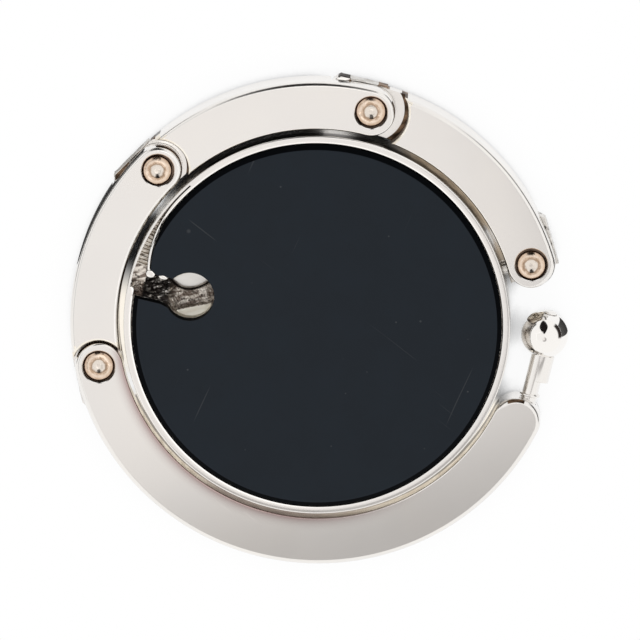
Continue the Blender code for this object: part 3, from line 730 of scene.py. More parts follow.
def link(number):
    start = HINGE_ANGLES[number]
    last = number == 1
    end = LAST_LINK_END_ANGLE if last else HINGE_ANGLES[number - 1]
    outline = band_outline(start, end)
    body = prism(f"plated_link_{number}", outline, RING_BOTTOM, RING_TOP, TOP_BEVEL, BOTTOM_BEVEL, 6)
    fine_inner_edge(body, start, end, INNER_EDGE_SHARE[number])
    if not last:
        cut(body, "UNION", ear(number - 1))
        cut(body, "DIFFERENCE", shoulder_cutter(number - 1), bpy.data.objects[f"rivet_hole_{number - 1}"])
    if number == 2:
        cut(body, "DIFFERENCE", opening_relief())
    cut(body, "DIFFERENCE", underside_cutter(number), rivet_hole(number))
    if last:
        cut(body, "DIFFERENCE", stem_bore())
    settle(body, 32)
    mark_inner_side(body, number)
    if last:
        mark_free_end(body)
    mark_counterbore(body, number)
    if not last:
        mark_counterbore(body, number - 1)
        mark_lower_lap(body, number - 1)
    return body


def on_top_edge(face):
    return face.center.z > RING_TOP - TOP_BEVEL and 0.10 < face.normal.z < 0.97


def mark_inner_side(body, number):
    """Marks the side towards the disc, and on the two upper links the rounded edge above it."""
    for face in body.data.polygons:
        reach = face.center.to_2d().length
        inward = face.normal.to_2d().dot(face.center.to_2d()) < -0.7 * reach
        side = inward and abs(face.normal.z) < 0.2 and reach < RING_INNER + 0.0001
        if side or (number > 2 and on_top_edge(face) and reach < RING_INNER + 0.00018):
            face.material_index = LINK_SHADED


def mark_free_end(body):
    """Marks the brown crescent on the edge under the stem."""
    for face in body.data.polygons:
        outward = face.center - polar(PITCH_RADIUS, LAST_LINK_END_ANGLE)
        around = math.degrees(math.atan2(outward.y, outward.x))
        if on_top_edge(face) and face.normal.z > 0.5 and CRESCENT_START < around < CRESCENT_END:
            face.material_index = LINK_BROWN


def mark_counterbore(body, number):
    hinge = polar(PITCH_RADIUS, HINGE_ANGLES[number])
    for face in body.data.polygons:
        reach = (face.center.to_2d() - hinge.to_2d()).length
        deep = RING_BOTTOM + 0.0001 < face.center.z < RING_TOP - 0.00010
        sunk = abs(face.normal.z) < 0.6 or abs(face.center.z - RING_TOP + COUNTERBORE_DEPTH) < 0.00005
        if deep and sunk and reach < RIVET_HEAD_RADIUS + COUNTERBORE_CLEARANCE + 0.00003:
            face.material_index = LINK_COUNTERBORE


def ear_finish(number, along):
    """Slot of a face of an ear. Rivet 1's is polished, and rivet 3's is black at its end and brown behind."""
    if number == 1:
        return LINK_NICKEL
    # The black end is painted shade
    if number == 3 and along > EAR_BLACK_START:
        return LINK_BLACK_SHADE
    return LINK_BROWN if number == 3 and along < EAR_BROWN_END else LINK_EAR


def mark_lower_lap(body, number):
    """Marks at a lower lap the ear that polishing misses, the groove and wall of the shoulder, brown as painted
    shade, and the shoulder's edge, which takes the cream painted highlight.
    """
    hinge = polar(PITCH_RADIUS, HINGE_ANGLES[number])
    to_hinge = hinge_frame(HINGE_ANGLES[number]).inverted()
    shoulder = SHOULDER_RADIUS[number]
    inner = shoulder - GROOVE_WIDTH[number]
    for face in body.data.polygons:
        reach = (face.center.to_2d() - hinge.to_2d()).length
        local = to_hinge @ face.center
        ear_side = local.y > ROUND_RADIUS - 0.00010 and -EAR_BACK < local.x < EAR_REACH + 0.0001
        above = face.center.z > LOWER_LAP_TOP - GROOVE_DEPTH - 0.00001
        flat = abs(face.normal.z) > 0.7
        groove = flat and abs(face.center.z - LOWER_LAP_TOP + GROOVE_DEPTH) < 0.00003
        groove = groove and inner - 0.0001 < reach < shoulder + 0.0001
        wall = above and not flat and inner - 0.00020 < reach < shoulder + 0.00003
        if ear_side and local.z < LOWER_LAP_TOP and reach > ROUND_RADIUS - 0.00005:
            face.material_index = ear_finish(number, local.x)
        # Painted shade at the shoulder's foot
        elif groove or wall:
            face.material_index = LINK_BROWN
        # Painted highlight on the shoulder's edge
        elif above and shoulder < reach < shoulder + SHOULDER_BEVEL + 0.00002 and face.normal.z < 0.995:
            face.material_index = LINK_SHADED


def root_casting():
    circle = arc(Vector(), ROUND_RADIUS, 0, 360, 2 * ROUND_END_STEPS)[:-1]
    hinge = hinge_frame(HINGE_ANGLES[4])
    lug = prism("root_casting", circle, RING_BOTTOM, LOWER_LAP_TOP, 0, BOTTOM_BEVEL, 4, hinge)
    inward = PITCH_RADIUS - DISC_RADIUS - SWIVEL_GAP
    half = LUG_NECK_HALF_WIDTH
    neck = [(-half, -inward), (half, -inward), (half, 0), (-half, 0)]
    low, high = RING_BOTTOM + LUG_NECK_SET_BACK, LOWER_LAP_TOP - LUG_NECK_SET_BACK
    wide = STUD_RADIUS + STUD_PEEN
    stud = [
        (STUD_RADIUS, STUD_INNER_END),
        (wide, STUD_INNER_END + STUD_PEEN / 2),
        (wide, STUD_INNER_END + STUD_PEEN),
        (STUD_RADIUS, STUD_INNER_END + STUD_PEEN),
        (STUD_RADIUS, DISC_RADIUS + SWIVEL_GAP + STUD_SUNK_LENGTH),
    ]
    shank = turned("stud_shank", stud, 48, radial_frame(HINGE_ANGLES[4], SWIVEL_HEIGHT))
    cut(lug, "UNION", prism("lug_neck", neck, low, high, 0.00012, 0.00012, 3, hinge), ear(4), shank)
    cut(lug, "DIFFERENCE", bpy.data.objects["rivet_hole_4"])
    return settle(lug, 32)


def rivet(number):
    """Rivet with a domed head below and a hammered, dimpled head above."""
    foot = RING_BOTTOM + COUNTERBORE_DEPTH - RIVET_HEAD_GAP
    crown = RING_TOP - COUNTERBORE_DEPTH + RIVET_HEAD_GAP
    low, high = foot - RIVET_HEAD_HEIGHT, crown + RIVET_HEAD_HEIGHT
    head = UPPER_HEAD_RADIUS[number]
    edge = (RIVET_HEAD_RADIUS - RIVET_HEAD_ROUND, low + RIVET_HEAD_ROUND)
    profile = corner(edge, RIVET_HEAD_ROUND, -90, 0, 6)
    profile += [(RIVET_HEAD_RADIUS, foot), (SHANK_RADIUS, foot), (SHANK_RADIUS, crown), (head, crown)]
    rise, inner = high - crown, DIMPLE_RADIUS * 1.25
    for step in range(1, 13):
        turn = math.radians(90 * step / 12)
        reach = inner + (head - inner) * math.cos(turn)
        profile.append((reach, crown + rise * (0.28 + 0.72 * math.sin(turn) ** 1.2)))
    profile += [(DIMPLE_RADIUS * share, high - DIMPLE_DEPTH * depth) for share, depth in DIMPLE_PROFILE]
    piece = turned(f"copper_rivet_{number}", profile, 72)
    for vert in piece.data.vertices:
        if vert.co.z > crown + 0.0001:
            dent = rough(vert.co + Vector((0, 0, number)), 1500, 2)
            vert.co.z -= RIVET_DENT * max(0.0, dent)
    settle(piece, 40)
    lean = Matrix.Translation((*RIVET_LEAN[number], 0))
    piece.matrix_world = lean @ hinge_frame(HINGE_ANGLES[number])
    return piece


# ---- ball and stem


def polished_stem():
    shoulder = STEM_LENGTH - BALL_SEAT - BALL_GAP
    nub = STEM_LENGTH + BALL_TOP + BALL_GAP
    fine = 0.00005
    low, high = STEM_COLLAR_LIFT, STEM_COLLAR_LIFT + STEM_COLLAR_HEIGHT
    profile = [
        (STEM_RADIUS, -STEM_SUNK_LENGTH),
        (STEM_RADIUS, low),
        (STEM_COLLAR_RADIUS - fine, low),
        (STEM_COLLAR_RADIUS, low + fine),
        (STEM_COLLAR_RADIUS, high - fine),
        (STEM_COLLAR_RADIUS - fine, high),
        (STEM_RADIUS, high),
        (STEM_RADIUS, shoulder - 1e-6),
        (SPIGOT_RADIUS, shoulder - 1e-6),
        (SPIGOT_RADIUS, nub),
        (NUB_RADIUS, nub),
        (NUB_RADIUS, nub + NUB_HEIGHT / 3),
        (NUB_RADIUS * 0.8, nub + NUB_HEIGHT * 0.75),
        (NUB_RADIUS / 2, nub + NUB_HEIGHT),
    ]
    stem = turned("polished_stem", profile, 64, stem_frame())
    half = STEM_RADIUS + STEM_WIDE_OFFSET / 2
    outline = []
    for step in range(56):
        turn = 2 * math.pi * step / 56
        x, y = [math.copysign(abs(part) ** STEM_WIDE_CURVE, part) for part in (math.cos(turn), math.sin(turn))]
        outline.append((STEM_WIDE_OFFSET / 2 + half * x, STEM_RADIUS * y))
    bottom = shoulder - STEM_WIDE_LENGTH
    cut(stem, "UNION", prism("wide_stem", outline, bottom, shoulder, 0, 0.00009, 3, stem_frame()))
    return settle(stem, 35)


def polished_ball():
    bore = SPIGOT_RADIUS + BALL_GAP
    start, end = [math.degrees(math.asin(height / BALL_RADIUS)) for height in (-BALL_SEAT, BALL_TOP)]
    profile = [(bore, -BALL_SEAT)] + corner((0, 0), BALL_RADIUS, start, end, 64) + [(bore, BALL_TOP)]
    place = stem_frame() @ Matrix.Translation((0, 0, STEM_LENGTH))
    ball = turned("polished_ball", profile, 96, place, ring=True)
    shape = bmesh.new()
    middle = place.translation + Vector(BALL_SPRUE)
    sunk = Matrix.Translation(middle) @ Matrix.Rotation(math.radians(BALL_SPRUE_TURN), 4, "Z")
    sunk = sunk @ Matrix.Diagonal((*BALL_SPRUE_SIZE, 1))
    bmesh.ops.create_icosphere(shape, subdivisions=5, radius=1, matrix=sunk)
    shape.normal_update()
    for vert in shape.verts:
        vert.co += vert.normal * 0.00010 * rough(vert.co, 2200)
    cut(ball, "UNION", new_piece("ball_sprue", shape))
    settle(ball, 35, weighted=False)
    for face in ball.data.polygons:
        outside = (face.center - place.translation).length > BALL_RADIUS + 0.00001
        if outside and (face.center - middle).length < 0.0011:
            face.material_index = BALL_STUB
    return ball


# ---- shader nodes


def add(tree, kind, inputs=None, **settings):
    """Adds a node. Inputs are values, or outputs to link from."""
    made = tree.nodes.new(kind)
    for name, value in settings.items():
        setattr(made, name, value)
    for name, value in (inputs or {}).items():
        if isinstance(value, bpy.types.NodeSocket):
            tree.links.new(value, made.inputs[name])
        else:
            made.inputs[name].default_value = value
    return made


def maths(tree, operation, first, second=0.0, clamp=False):
    return add(tree, "ShaderNodeMath", {0: first, 1: second}, operation=operation, use_clamp=clamp).outputs[0]


def product(tree, first, *others):
    for other in others:
        first = maths(tree, "MULTIPLY", first, other)
    return first


def arrows(tree, operation, first, second=(0, 0, 0)):
    """Arithmetic on vectors. Dot products and lengths give a number."""
    made = add(tree, "ShaderNodeVectorMath", {0: first, 1: second}, operation=operation)
    return made.outputs["Value" if operation in ("DOT_PRODUCT", "LENGTH") else "Vector"]


def parts_of(tree, vector):
    return add(tree, "ShaderNodeSeparateXYZ", {0: vector}).outputs


def spread(tree, value, low, high, to_low=0.0, to_high=1.0, smooth=True):
    """Maps low..high to to_low..to_high."""
    inputs = {"Value": value, "From Min": low, "From Max": high, "To Min": to_low, "To Max": to_high}
    kind = "SMOOTHSTEP" if smooth else "LINEAR"
    return add(tree, "ShaderNodeMapRange", inputs, interpolation_type=kind).outputs["Result"]


def noise_map(tree, place, scale, detail, roughness=0.5):
    inputs = {"Vector": place, "Scale": scale, "Detail": detail, "Roughness": roughness}
    return add(tree, "ShaderNodeTexNoise", inputs).outputs["Fac"]


def blend_colour(tree, factor, first, second):
    """Mixes two colours, each given as three levels or as an output."""
    pair = [colour if isinstance(colour, bpy.types.NodeSocket) else (*colour, 1) for colour in (first, second)]
    return add(tree, "ShaderNodeMix", {"Factor": factor, 6: pair[0], 7: pair[1]}, data_type="RGBA").outputs[2]


def stretched(tree, place, degrees, stretch):
    """Turns the place about Z, then stretches it, so that marks run along one direction."""
    inputs = {"Vector": place, "Angle": math.radians(degrees)}
    turned_place = add(tree, "ShaderNodeVectorRotate", inputs, rotation_type="Z_AXIS").outputs[0]
    return arrows(tree, "MULTIPLY", turned_place, stretch)


def flattened(tree, place):
    return arrows(tree, "MULTIPLY", place, (1, 1, 0))


def shader_group(name, inputs, outputs):
    """An empty group that takes a place and the named numbers, and gives the named numbers."""
    group = bpy.data.node_groups.new(name, "ShaderNodeTree")
    group.interface.new_socket("Place", in_out="INPUT", socket_type="NodeSocketVector")
    for socket, default in inputs.items():
        group.interface.new_socket(socket, in_out="INPUT", socket_type="NodeSocketFloat").default_value = default
    for socket in outputs:
        group.interface.new_socket(socket, in_out="OUTPUT", socket_type="NodeSocketFloat")
    return group, group.nodes.new("NodeGroupInput").outputs, group.nodes.new("NodeGroupOutput").inputs


def wiping_marks_group():
    """Fine wiping scratches in two directions, and soft hazy patches."""
    group, given, out = shader_group("wiping_marks", {"Density": 0.5}, ("Lines", "Haze"))
    masks = []
    for turn, stretch in ((24, (2600, 60, 900)), (-51, (3400, 90, 1400))):
        bent = noise_map(group, stretched(group, given["Place"], turn, stretch), 1.0, 2.0, 0.6)
        low = maths(group, "SUBTRACT", 0.78, maths(group, "MULTIPLY", given["Density"], 0.16))
        masks.append(spread(group, bent, low, maths(group, "ADD", low, 0.05)))
    group.links.new(maths(group, "MAXIMUM", *masks), out["Lines"])
    group.links.new(spread(group, noise_map(group, given["Place"], 160.0, 3.0, 0.55), 0.38, 0.68), out["Haze"])
    return group


def dust_group():
    """Scattered specks of dust."""
    group, given, out = shader_group("dust_specks", {"Spacing": 900.0, "Share": 0.1}, ("Specks",))
    inputs = {"Vector": given["Place"], "Scale": given["Spacing"], "Randomness": 1.0}
    cells = add(group, "ShaderNodeTexVoronoi", inputs).outputs
    pick = add(group, "ShaderNodeSeparateColor", {"Color": cells["Color"]}).outputs
    chosen = maths(group, "LESS_THAN", pick["Red"], given["Share"])
    size = spread(group, pick["Green"], 0.0, 1.0, 0.05, 0.16)
    near = spread(group, cells["Distance"], maths(group, "MULTIPLY", size, 0.6), size, 1.0, 0.0)
    strength = spread(group, pick["Blue"], 0.0, 1.0, 0.35, 1.0)
    group.links.new(product(group, chosen, near, strength), out["Specks"])
    return group


def casting_group():
    """Grain, pits and flow marks of an unpolished casting."""
    group, given, out = shader_group("casting_skin", {"Size": 2500.0}, ("Height", "Pits", "Flow"))
    grain = noise_map(group, given["Place"], given["Size"], 5.0, 0.62)
    inputs = {"Vector": given["Place"], "Scale": given["Size"]}
    cells = add(group, "ShaderNodeTexVoronoi", inputs, feature="SMOOTH_F1").outputs
    pits = spread(group, cells["Distance"], 0.10, 0.34, 1.0, 0.0)
    flow = noise_map(group, stretched(group, given["Place"], -14, (0.18, 1.0, 0.6)), given["Size"], 4.0, 0.55)
    group.links.new(maths(group, "SUBTRACT", maths(group, "ADD", grain, flow), pits), out["Height"])
    group.links.new(pits, out["Pits"])
    group.links.new(flow, out["Flow"])
    return group


WIPING_MARKS = wiping_marks_group()
DUST_SPECKS = dust_group()
CASTING_SKIN = casting_group()


def use(tree, group, place, **values):
    return add(tree, "ShaderNodeGroup", {"Place": place, **values}, node_tree=group).outputs


def new_material(name, metallic, **fixed):
    """A material with its constants on the shader. Returns (material, tree, place)."""
    material = bpy.data.materials.new(name)
    material.use_nodes = True
    tree = material.node_tree
    shader = tree.nodes["Principled BSDF"]
    shader.inputs["Metallic"].default_value = metallic
    for socket, value in fixed.items():
        shader.inputs[socket.replace("_", " ")].default_value = value
    return material, tree, tree.nodes.new("ShaderNodeTexCoord").outputs["Object"]


def coat(material, colour, roughness, height=None, distance=0.0, metallic=None):
    """Links a material's outputs to its shader, with height raised over distance metres."""
    tree = material.node_tree
    links = {"Base Color": colour, "Roughness": roughness}
    if height is not None:
        bump = add(tree, "ShaderNodeBump", {"Height": height, "Distance": distance, "Strength": 1.0})
        links["Normal"] = bump.outputs["Normal"]
    if metallic is not None:
        links["Metallic"] = metallic
    for name, output in links.items():
        tree.links.new(output, tree.nodes["Principled BSDF"].inputs[name])
    return material


def uneven(tree, flow, high, low):
    """Roughness that wanders from high to low with a casting's flow marks."""
    return spread(tree, flow, 0.3, 0.7, high, low)


# ---- materials


def plated_nickel(name, smooth, haze, marks, lift=0.0, inner_shade=None):
    """Bright nickel plating, warm and slightly hazy, with faint wiping marks and, if given, a painted shade towards
    the disc.
    """
    material, tree, place = new_material(name, 1.0)
    worn = use(tree, WIPING_MARKS, place, Density=marks)
    tones = ((0.905, 0.880, 0.850), (0.885, 0.866, 0.845), (0.84, 0.815, 0.785))
    bright, warm, dull = [[level + lift for level in tone] for tone in tones]
    plating = blend_colour(tree, spread(tree, noise_map(tree, place, 90.0, 2.0), 0.35, 0.65), bright, warm)
    haze_and_shade = blend_colour(tree, maths(tree, "MULTIPLY", worn["Haze"], 0.25), plating, dull)
    # Painted shade: the plating darkens to the given colour by the ring's inner edge, on the ring's left side
    if inner_shade:
        side = spread(tree, parts_of(tree, place)["X"], 0.0125, -0.003)
        beyond = maths(tree, "SUBTRACT", arrows(tree, "LENGTH", flattened(tree, place)), RING_INNER)
        inward = maths(tree, "SUBTRACT", 1.0, maths(tree, "DIVIDE", beyond, INNER_SHADE_WIDTH), True)
        haze_and_shade = blend_colour(tree, product(tree, side, maths(tree, "POWER", inward, 2.4)), haze_and_shade, inner_shade)
    level = maths(tree, "ADD", smooth, maths(tree, "MULTIPLY", worn["Haze"], haze))
    level = maths(tree, "ADD", level, maths(tree, "MULTIPLY", worn["Lines"], 0.05))
    return coat(material, haze_and_shade, level, worn["Lines"], -0.0000006)


def raw_casting():
    """Unpolished casting inside the pockets: brown-grey, pitted and streaked."""
    material, tree, place = new_material("raw_casting", 1.0)
    skin = use(tree, CASTING_SKIN, place, Size=3200.0)
    outward = polar(1, KEYHOLE_ANGLE)
    along = arrows(tree, "DOT_PRODUCT", place, outward)
    beside = arrows(tree, "DOT_PRODUCT", place, Vector((-outward.y, outward.x, 0)))
    neck = product(tree, spread(tree, along, 0.0133, 0.0142), spread(tree, along, 0.01655, 0.01630))
    neck = product(tree, neck, spread(tree, beside, -0.00150, -0.00125))
    channel = spread(tree, beside, -0.00138, -0.00160)
    tone, flecks, beige = [
        blend_colour(tree, spread(tree, skin["Flow"], low, high), dark, light)
        for low, high, dark, light in (
            (0.38, 0.62, (0.24, 0.19, 0.16), (0.86, 0.80, 0.73)),
            (0.50, 0.62, (0.050, 0.043, 0.040), (0.86, 0.83, 0.79)),
            (0.30, 0.55, (0.50, 0.43, 0.36), (0.80, 0.75, 0.68)),
        )
    ]
    tone = blend_colour(tree, channel, blend_colour(tree, neck, tone, flecks), beige)
    pitted = product(tree, skin["Pits"], spread(tree, channel, 0.0, 1.0, 0.8, 0.6, False))
    dark = blend_colour(tree, pitted, tone, (0.04, 0.03, 0.025))
    return coat(material, dark, uneven(tree, skin["Flow"], 0.48, 0.32), skin["Height"], 0.000018)


def disc_side():
    """Disc's side: dull plating, with painted shade under the rim on the hinge side and a crust by the channel."""
    material, tree, place = new_material("side_nickel", 1.0)
    flow = use(tree, CASTING_SKIN, place, Size=1100.0)["Flow"]
    tone = blend_colour(tree, spread(tree, flow, 0.35, 0.65), (0.56, 0.52, 0.47), (0.74, 0.71, 0.67))
    parts = parts_of(tree, place)
    # Painted shade: the upper side wall on the hinge side darkens towards the rim
    painted_shade_line = product(tree, spread(tree, parts["Z"], 0.0026, 0.0035), spread(tree, parts["Y"], -0.001, 0.004))
    tone = blend_colour(tree, painted_shade_line, tone, (0.050, 0.034, 0.024))
    facing = arrows(tree, "DOT_PRODUCT", place, polar(1, CRUST_ANGLE))
    crust = spread(tree, maths(tree, "DIVIDE", facing, DISC_RADIUS), 0.930, 0.985)
    grain = spread(tree, noise_map(tree, place, 3600.0, 2.0), 0.42, 0.58)
    speckle = blend_colour(tree, grain, (0.060, 0.048, 0.038), (0.90, 0.84, 0.74))
    tone = blend_colour(tree, crust, tone, speckle)
    return coat(material, tone, uneven(tree, flow, 0.34, 0.22), metallic=spread(tree, crust, 0.0, 1.0, 1.0, 0.35))


def cast_metal(name, size, dark, light, dull, fine, tones=None, relief=None, depth=0.0, metallic=1.0):
    """Metal with a casting's flow marks from dark to light over tones, its relief raised by depth metres."""
    material, tree, place = new_material(name, metallic)
    skin = use(tree, CASTING_SKIN, place, Size=size)
    flow = skin["Flow"]
    tone = blend_colour(tree, spread(tree, flow, *tones) if tones else flow, dark, light)
    return coat(material, tone, uneven(tree, flow, dull, fine), relief and skin[relief], depth)


def tarnish_and_shade(name, dark, light, smooth, metallic=1.0):
    """Nickel that polishing does not reach, with warm tarnish; the counterbore and brown copies are dark as painted
    shade.
    """
    return cast_metal(name, 1400.0, dark, light, smooth + 0.08, smooth, (0.35, 0.62), metallic=metallic)


def shaded_side():
    """Inner side of the ring: a cream painted highlight, with painted shade below the shoulders' height and at the
    bottom of the ring.
    """
    material, tree, place = new_material("shaded_side", 1.0)
    flow = use(tree, CASTING_SKIN, place, Size=1400.0)["Flow"]
    # Painted highlight: the cream tone stands in for warm light reflected from the disc's side
    tone = blend_colour(tree, spread(tree, flow, 0.35, 0.62), (0.90, 0.82, 0.70), (0.99, 0.95, 0.87))
    parts = parts_of(tree, place)
    # Painted shade: dark below the shoulders' height, and brown-red at the bottom of the ring
    tone = blend_colour(tree, spread(tree, parts["Z"], 0.0020, 0.0027), (0.035, 0.024, 0.018), tone)
    across = product(tree, spread(tree, parts["X"], -0.0125, -0.0085), spread(tree, parts["X"], 0.0095, -0.002))
    painted_bottom_shade = product(tree, across, spread(tree, parts["Y"], -0.008, -0.012, 0.0, 0.92))
    tone = blend_colour(tree, painted_bottom_shade, tone, (0.10, 0.045, 0.040))
    return coat(material, tone, uneven(tree, flow, 0.32, 0.24))


def cast_lug():
    """Plated casting of the lug, with pits that hold dark polish."""
    material, tree, place = new_material("cast_lug", 1.0)
    skin = use(tree, CASTING_SKIN, place, Size=1500.0)
    tone = blend_colour(tree, maths(tree, "MULTIPLY", skin["Pits"], 0.7), (0.80, 0.775, 0.74), (0.10, 0.08, 0.07))
    return coat(material, tone, uneven(tree, skin["Flow"], 0.16, 0.34), skin["Height"], 0.00003)


def rose_copper():
    """Rivet head: rose copper, pale in the dimple, with painted rings of shade and highlight and painted shade low
    round its edge.
    """
    material, tree, place = new_material("rose_copper", 1.0)
    ripple = noise_map(tree, place, 2600.0, 3.0)
    wander = maths(tree, "MULTIPLY", maths(tree, "SUBTRACT", ripple, 0.5), 0.0003)
    reach = maths(tree, "ADD", arrows(tree, "LENGTH", flattened(tree, place)), wander)
    dimple = spread(tree, reach, 0.00050, 0.00072, 1.0, 0.0)
    copper = blend_colour(tree, spread(tree, ripple, 0.35, 0.65), (0.58, 0.42, 0.30), (0.80, 0.63, 0.50))
    tone = blend_colour(tree, dimple, copper, (0.80, 0.73, 0.66))
    # Painted shade and highlight: a dark ring by the dimple and a light ring on the dome
    for rise, fall, strength, ring in (
        ((0.00054, 0.00064), (0.00082, 0.00068), 0.7, (0.30, 0.20, 0.13)),
        ((0.00082, 0.00094), (0.00116, 0.00102), 0.5, (0.93, 0.80, 0.68)),
    ):
        painted_band = product(tree, spread(tree, reach, *rise), spread(tree, reach, *fall), strength)
        tone = blend_colour(tree, painted_band, tone, ring)
    # Painted shade: a dark rim round the head's edge
    rim = maths(tree, "MULTIPLY", spread(tree, reach, 0.00122, 0.00137), 0.8)
    tone = blend_colour(tree, rim, tone, (0.24, 0.12, 0.07))
    dull = maths(tree, "MULTIPLY", dimple, 0.04)
    return coat(material, tone, maths(tree, "ADD", uneven(tree, ripple, 0.13, 0.26), dull), ripple, 0.000014)


def pad_rubber():
    """Blue-black rubber: soft sheen, faint mottling, dust and a few hair-fine scratches."""
    material, tree, place = new_material("pad_rubber", 0.0, Specular_IOR_Level=0.22)
    mottle = noise_map(tree, place, 260.0, 4.0, 0.6)
    rubber = blend_colour(tree, spread(tree, mottle, 0.3, 0.7), (0.0050, 0.0098, 0.0165), (0.0080, 0.0135, 0.0210))
    fine = use(tree, DUST_SPECKS, place, Spacing=1500.0, Share=0.05)["Specks"]
    large = use(tree, DUST_SPECKS, place, Spacing=420.0, Share=0.10)["Specks"]
    scratches = maths(tree, "MULTIPLY", use(tree, WIPING_MARKS, place, Density=0.35)["Lines"], 0.25)
    dust = maths(tree, "MAXIMUM", maths(tree, "MULTIPLY", fine, 0.5), large)
    marks = maths(tree, "MULTIPLY", maths(tree, "MAXIMUM", dust, scratches), 0.22)
    tone = blend_colour(tree, marks, rubber, (0.42, 0.42, 0.42))
    height = maths(tree, "ADD", noise_map(tree, place, 9000.0, 2.0), dust)
    return coat(material, tone, uneven(tree, mottle, 0.52, 0.64), height, 0.000004)


def pad_edge():
    """The pad's cut edge: blacker than its face."""
    material, tree, place = new_material("pad_edge", 0.0, Specular_IOR_Level=0.02)
    grain = noise_map(tree, place, 1800.0, 3.0)
    tone = blend_colour(tree, grain, (0.0008, 0.0010, 0.0013), (0.0035, 0.0045, 0.0060))
    return coat(material, tone, uneven(tree, grain, 0.50, 0.70))


def set_adhesive():
    """Cream film adhesive with trapped air."""
    material, tree, place = new_material("set_adhesive", 0.0)
    specks = use(tree, DUST_SPECKS, place, Spacing=1800.0, Share=0.4)["Specks"]
    tone = blend_colour(tree, specks, (0.70, 0.67, 0.58), (0.84, 0.82, 0.76))
    return coat(material, tone, spread(tree, specks, 0.0, 1.0, 0.55, 0.35))


# ---- dressing


def dress(piece, body, node, slot, *materials):
    for material in materials:
        piece.data.materials.append(material)
    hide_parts(node)
    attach(piece, body)


def redress(node, material):
    piece = frame["nodes"][node]
    for entry in piece.material_slots:
        entry.material = material


def dress_hook():
    link_nickel = plated_nickel("link_nickel", 0.17, 0.05, 0.45)
    # Link 1's copy carries a painted shade by its inner edge
    lower_nickel = plated_nickel("lower_nickel", 0.17, 0.015, 0.45, 0.0, (0.40, 0.27, 0.26))
    rim_nickel = plated_nickel("rim_nickel", 0.13, 0.05, 0.30)
    # The ball's copy is painted lighter and the leaf's copy darker: lit and shaded copies of the plating
    ball_nickel = plated_nickel("ball_nickel", 0.05, 0.03, 0.20, 0.055)
    stem_nickel = plated_nickel("stem_nickel", 0.10, 0.06, 0.35)
    plate_nickel = plated_nickel("plate_nickel", 0.09, 0.04, 0.60)
    leaf_nickel = plated_nickel("leaf_nickel", 0.30, 0.06, 0.50, -0.10)
    # Painted shade: near-black for the groove along the leaf in the pocket and the end of rivet 3's ear
    gap_shade = cast_metal(
        "gap_painted_shade", 4200.0, (0.010, 0.008, 0.008), (0.075, 0.055, 0.045), 0.60, 0.42, None, "Height", 0.00002, 0.6
    )
    cream = cast_metal(
        "cream_dish", 1500.0, (0.88, 0.82, 0.70), (0.99, 0.96, 0.86), 0.52, 0.40, (0.35, 0.65), "Flow", 0.00002
    )
    sprue = tarnish_and_shade("ball_sprue", (0.07, 0.045, 0.03), (0.66, 0.58, 0.46), 0.20)

    shell = [rim_nickel, raw_casting(), stem_nickel, gap_shade, disc_side(), cream, leaf_nickel]
    dress(disc_shell(), "disc", "disc_body", "cast_nickel", *shell)
    dress(pad_disc(), "disc", "rubber_pad", "pad_rubber", pad_rubber(), pad_edge())
    dress(front_plate(), "disc", "front_inlay", "nickel_plate", plate_nickel)
    recesses = [
        gap_shade,
        shaded_side(),
        # Painted shade: dark counterbore walls round the rivet heads
        tarnish_and_shade("counterbore", (0.03, 0.020, 0.015), (0.17, 0.12, 0.09), 0.36),
        tarnish_and_shade("ear_nickel", (0.66, 0.63, 0.59), (0.96, 0.94, 0.91), 0.34, 0.2),
        # Painted shade in the shoulders' grooves and walls and the crescent under the stem, and the brown crust
        # behind rivet 3's ear
        tarnish_and_shade("brown_shade_and_crust", (0.050, 0.033, 0.023), (0.32, 0.21, 0.135), 0.40),
    ]
    copper = rose_copper()
    for number in (1, 2, 3, 4):
        plating = lower_nickel if number == 1 else link_nickel
        dress(link(number), f"link_{number}", f"link_{number}", "nickel_plate", plating, *recesses)
        dress(rivet(number), f"link_{number}", f"rivet_{number}", "rivet_copper", copper)
    dress(root_casting(), "root_lug", "root_lug", "cast_nickel", cast_lug())
    dress(polished_stem(), "link_1", "tip_stem", "nickel_plate", stem_nickel)
    dress(polished_ball(), "link_1", "tip_ball", "nickel_plate", ball_nickel, sprue)

    steel = cast_metal("spring_steel", 5200.0, (0.46, 0.46, 0.47), (0.70, 0.70, 0.71), 0.22, 0.40)
    redress("swivel_washer", steel)
    redress("swivel_collar", steel)
    film = set_adhesive()
    redress("pad_adhesive", film)
    redress("inlay_adhesive", film)

    for piece in list(bpy.context.scene.objects):
        if piece.type == "MESH" and "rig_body" not in piece:
            bpy.data.objects.remove(piece, do_unlink=True)


# ---- studio


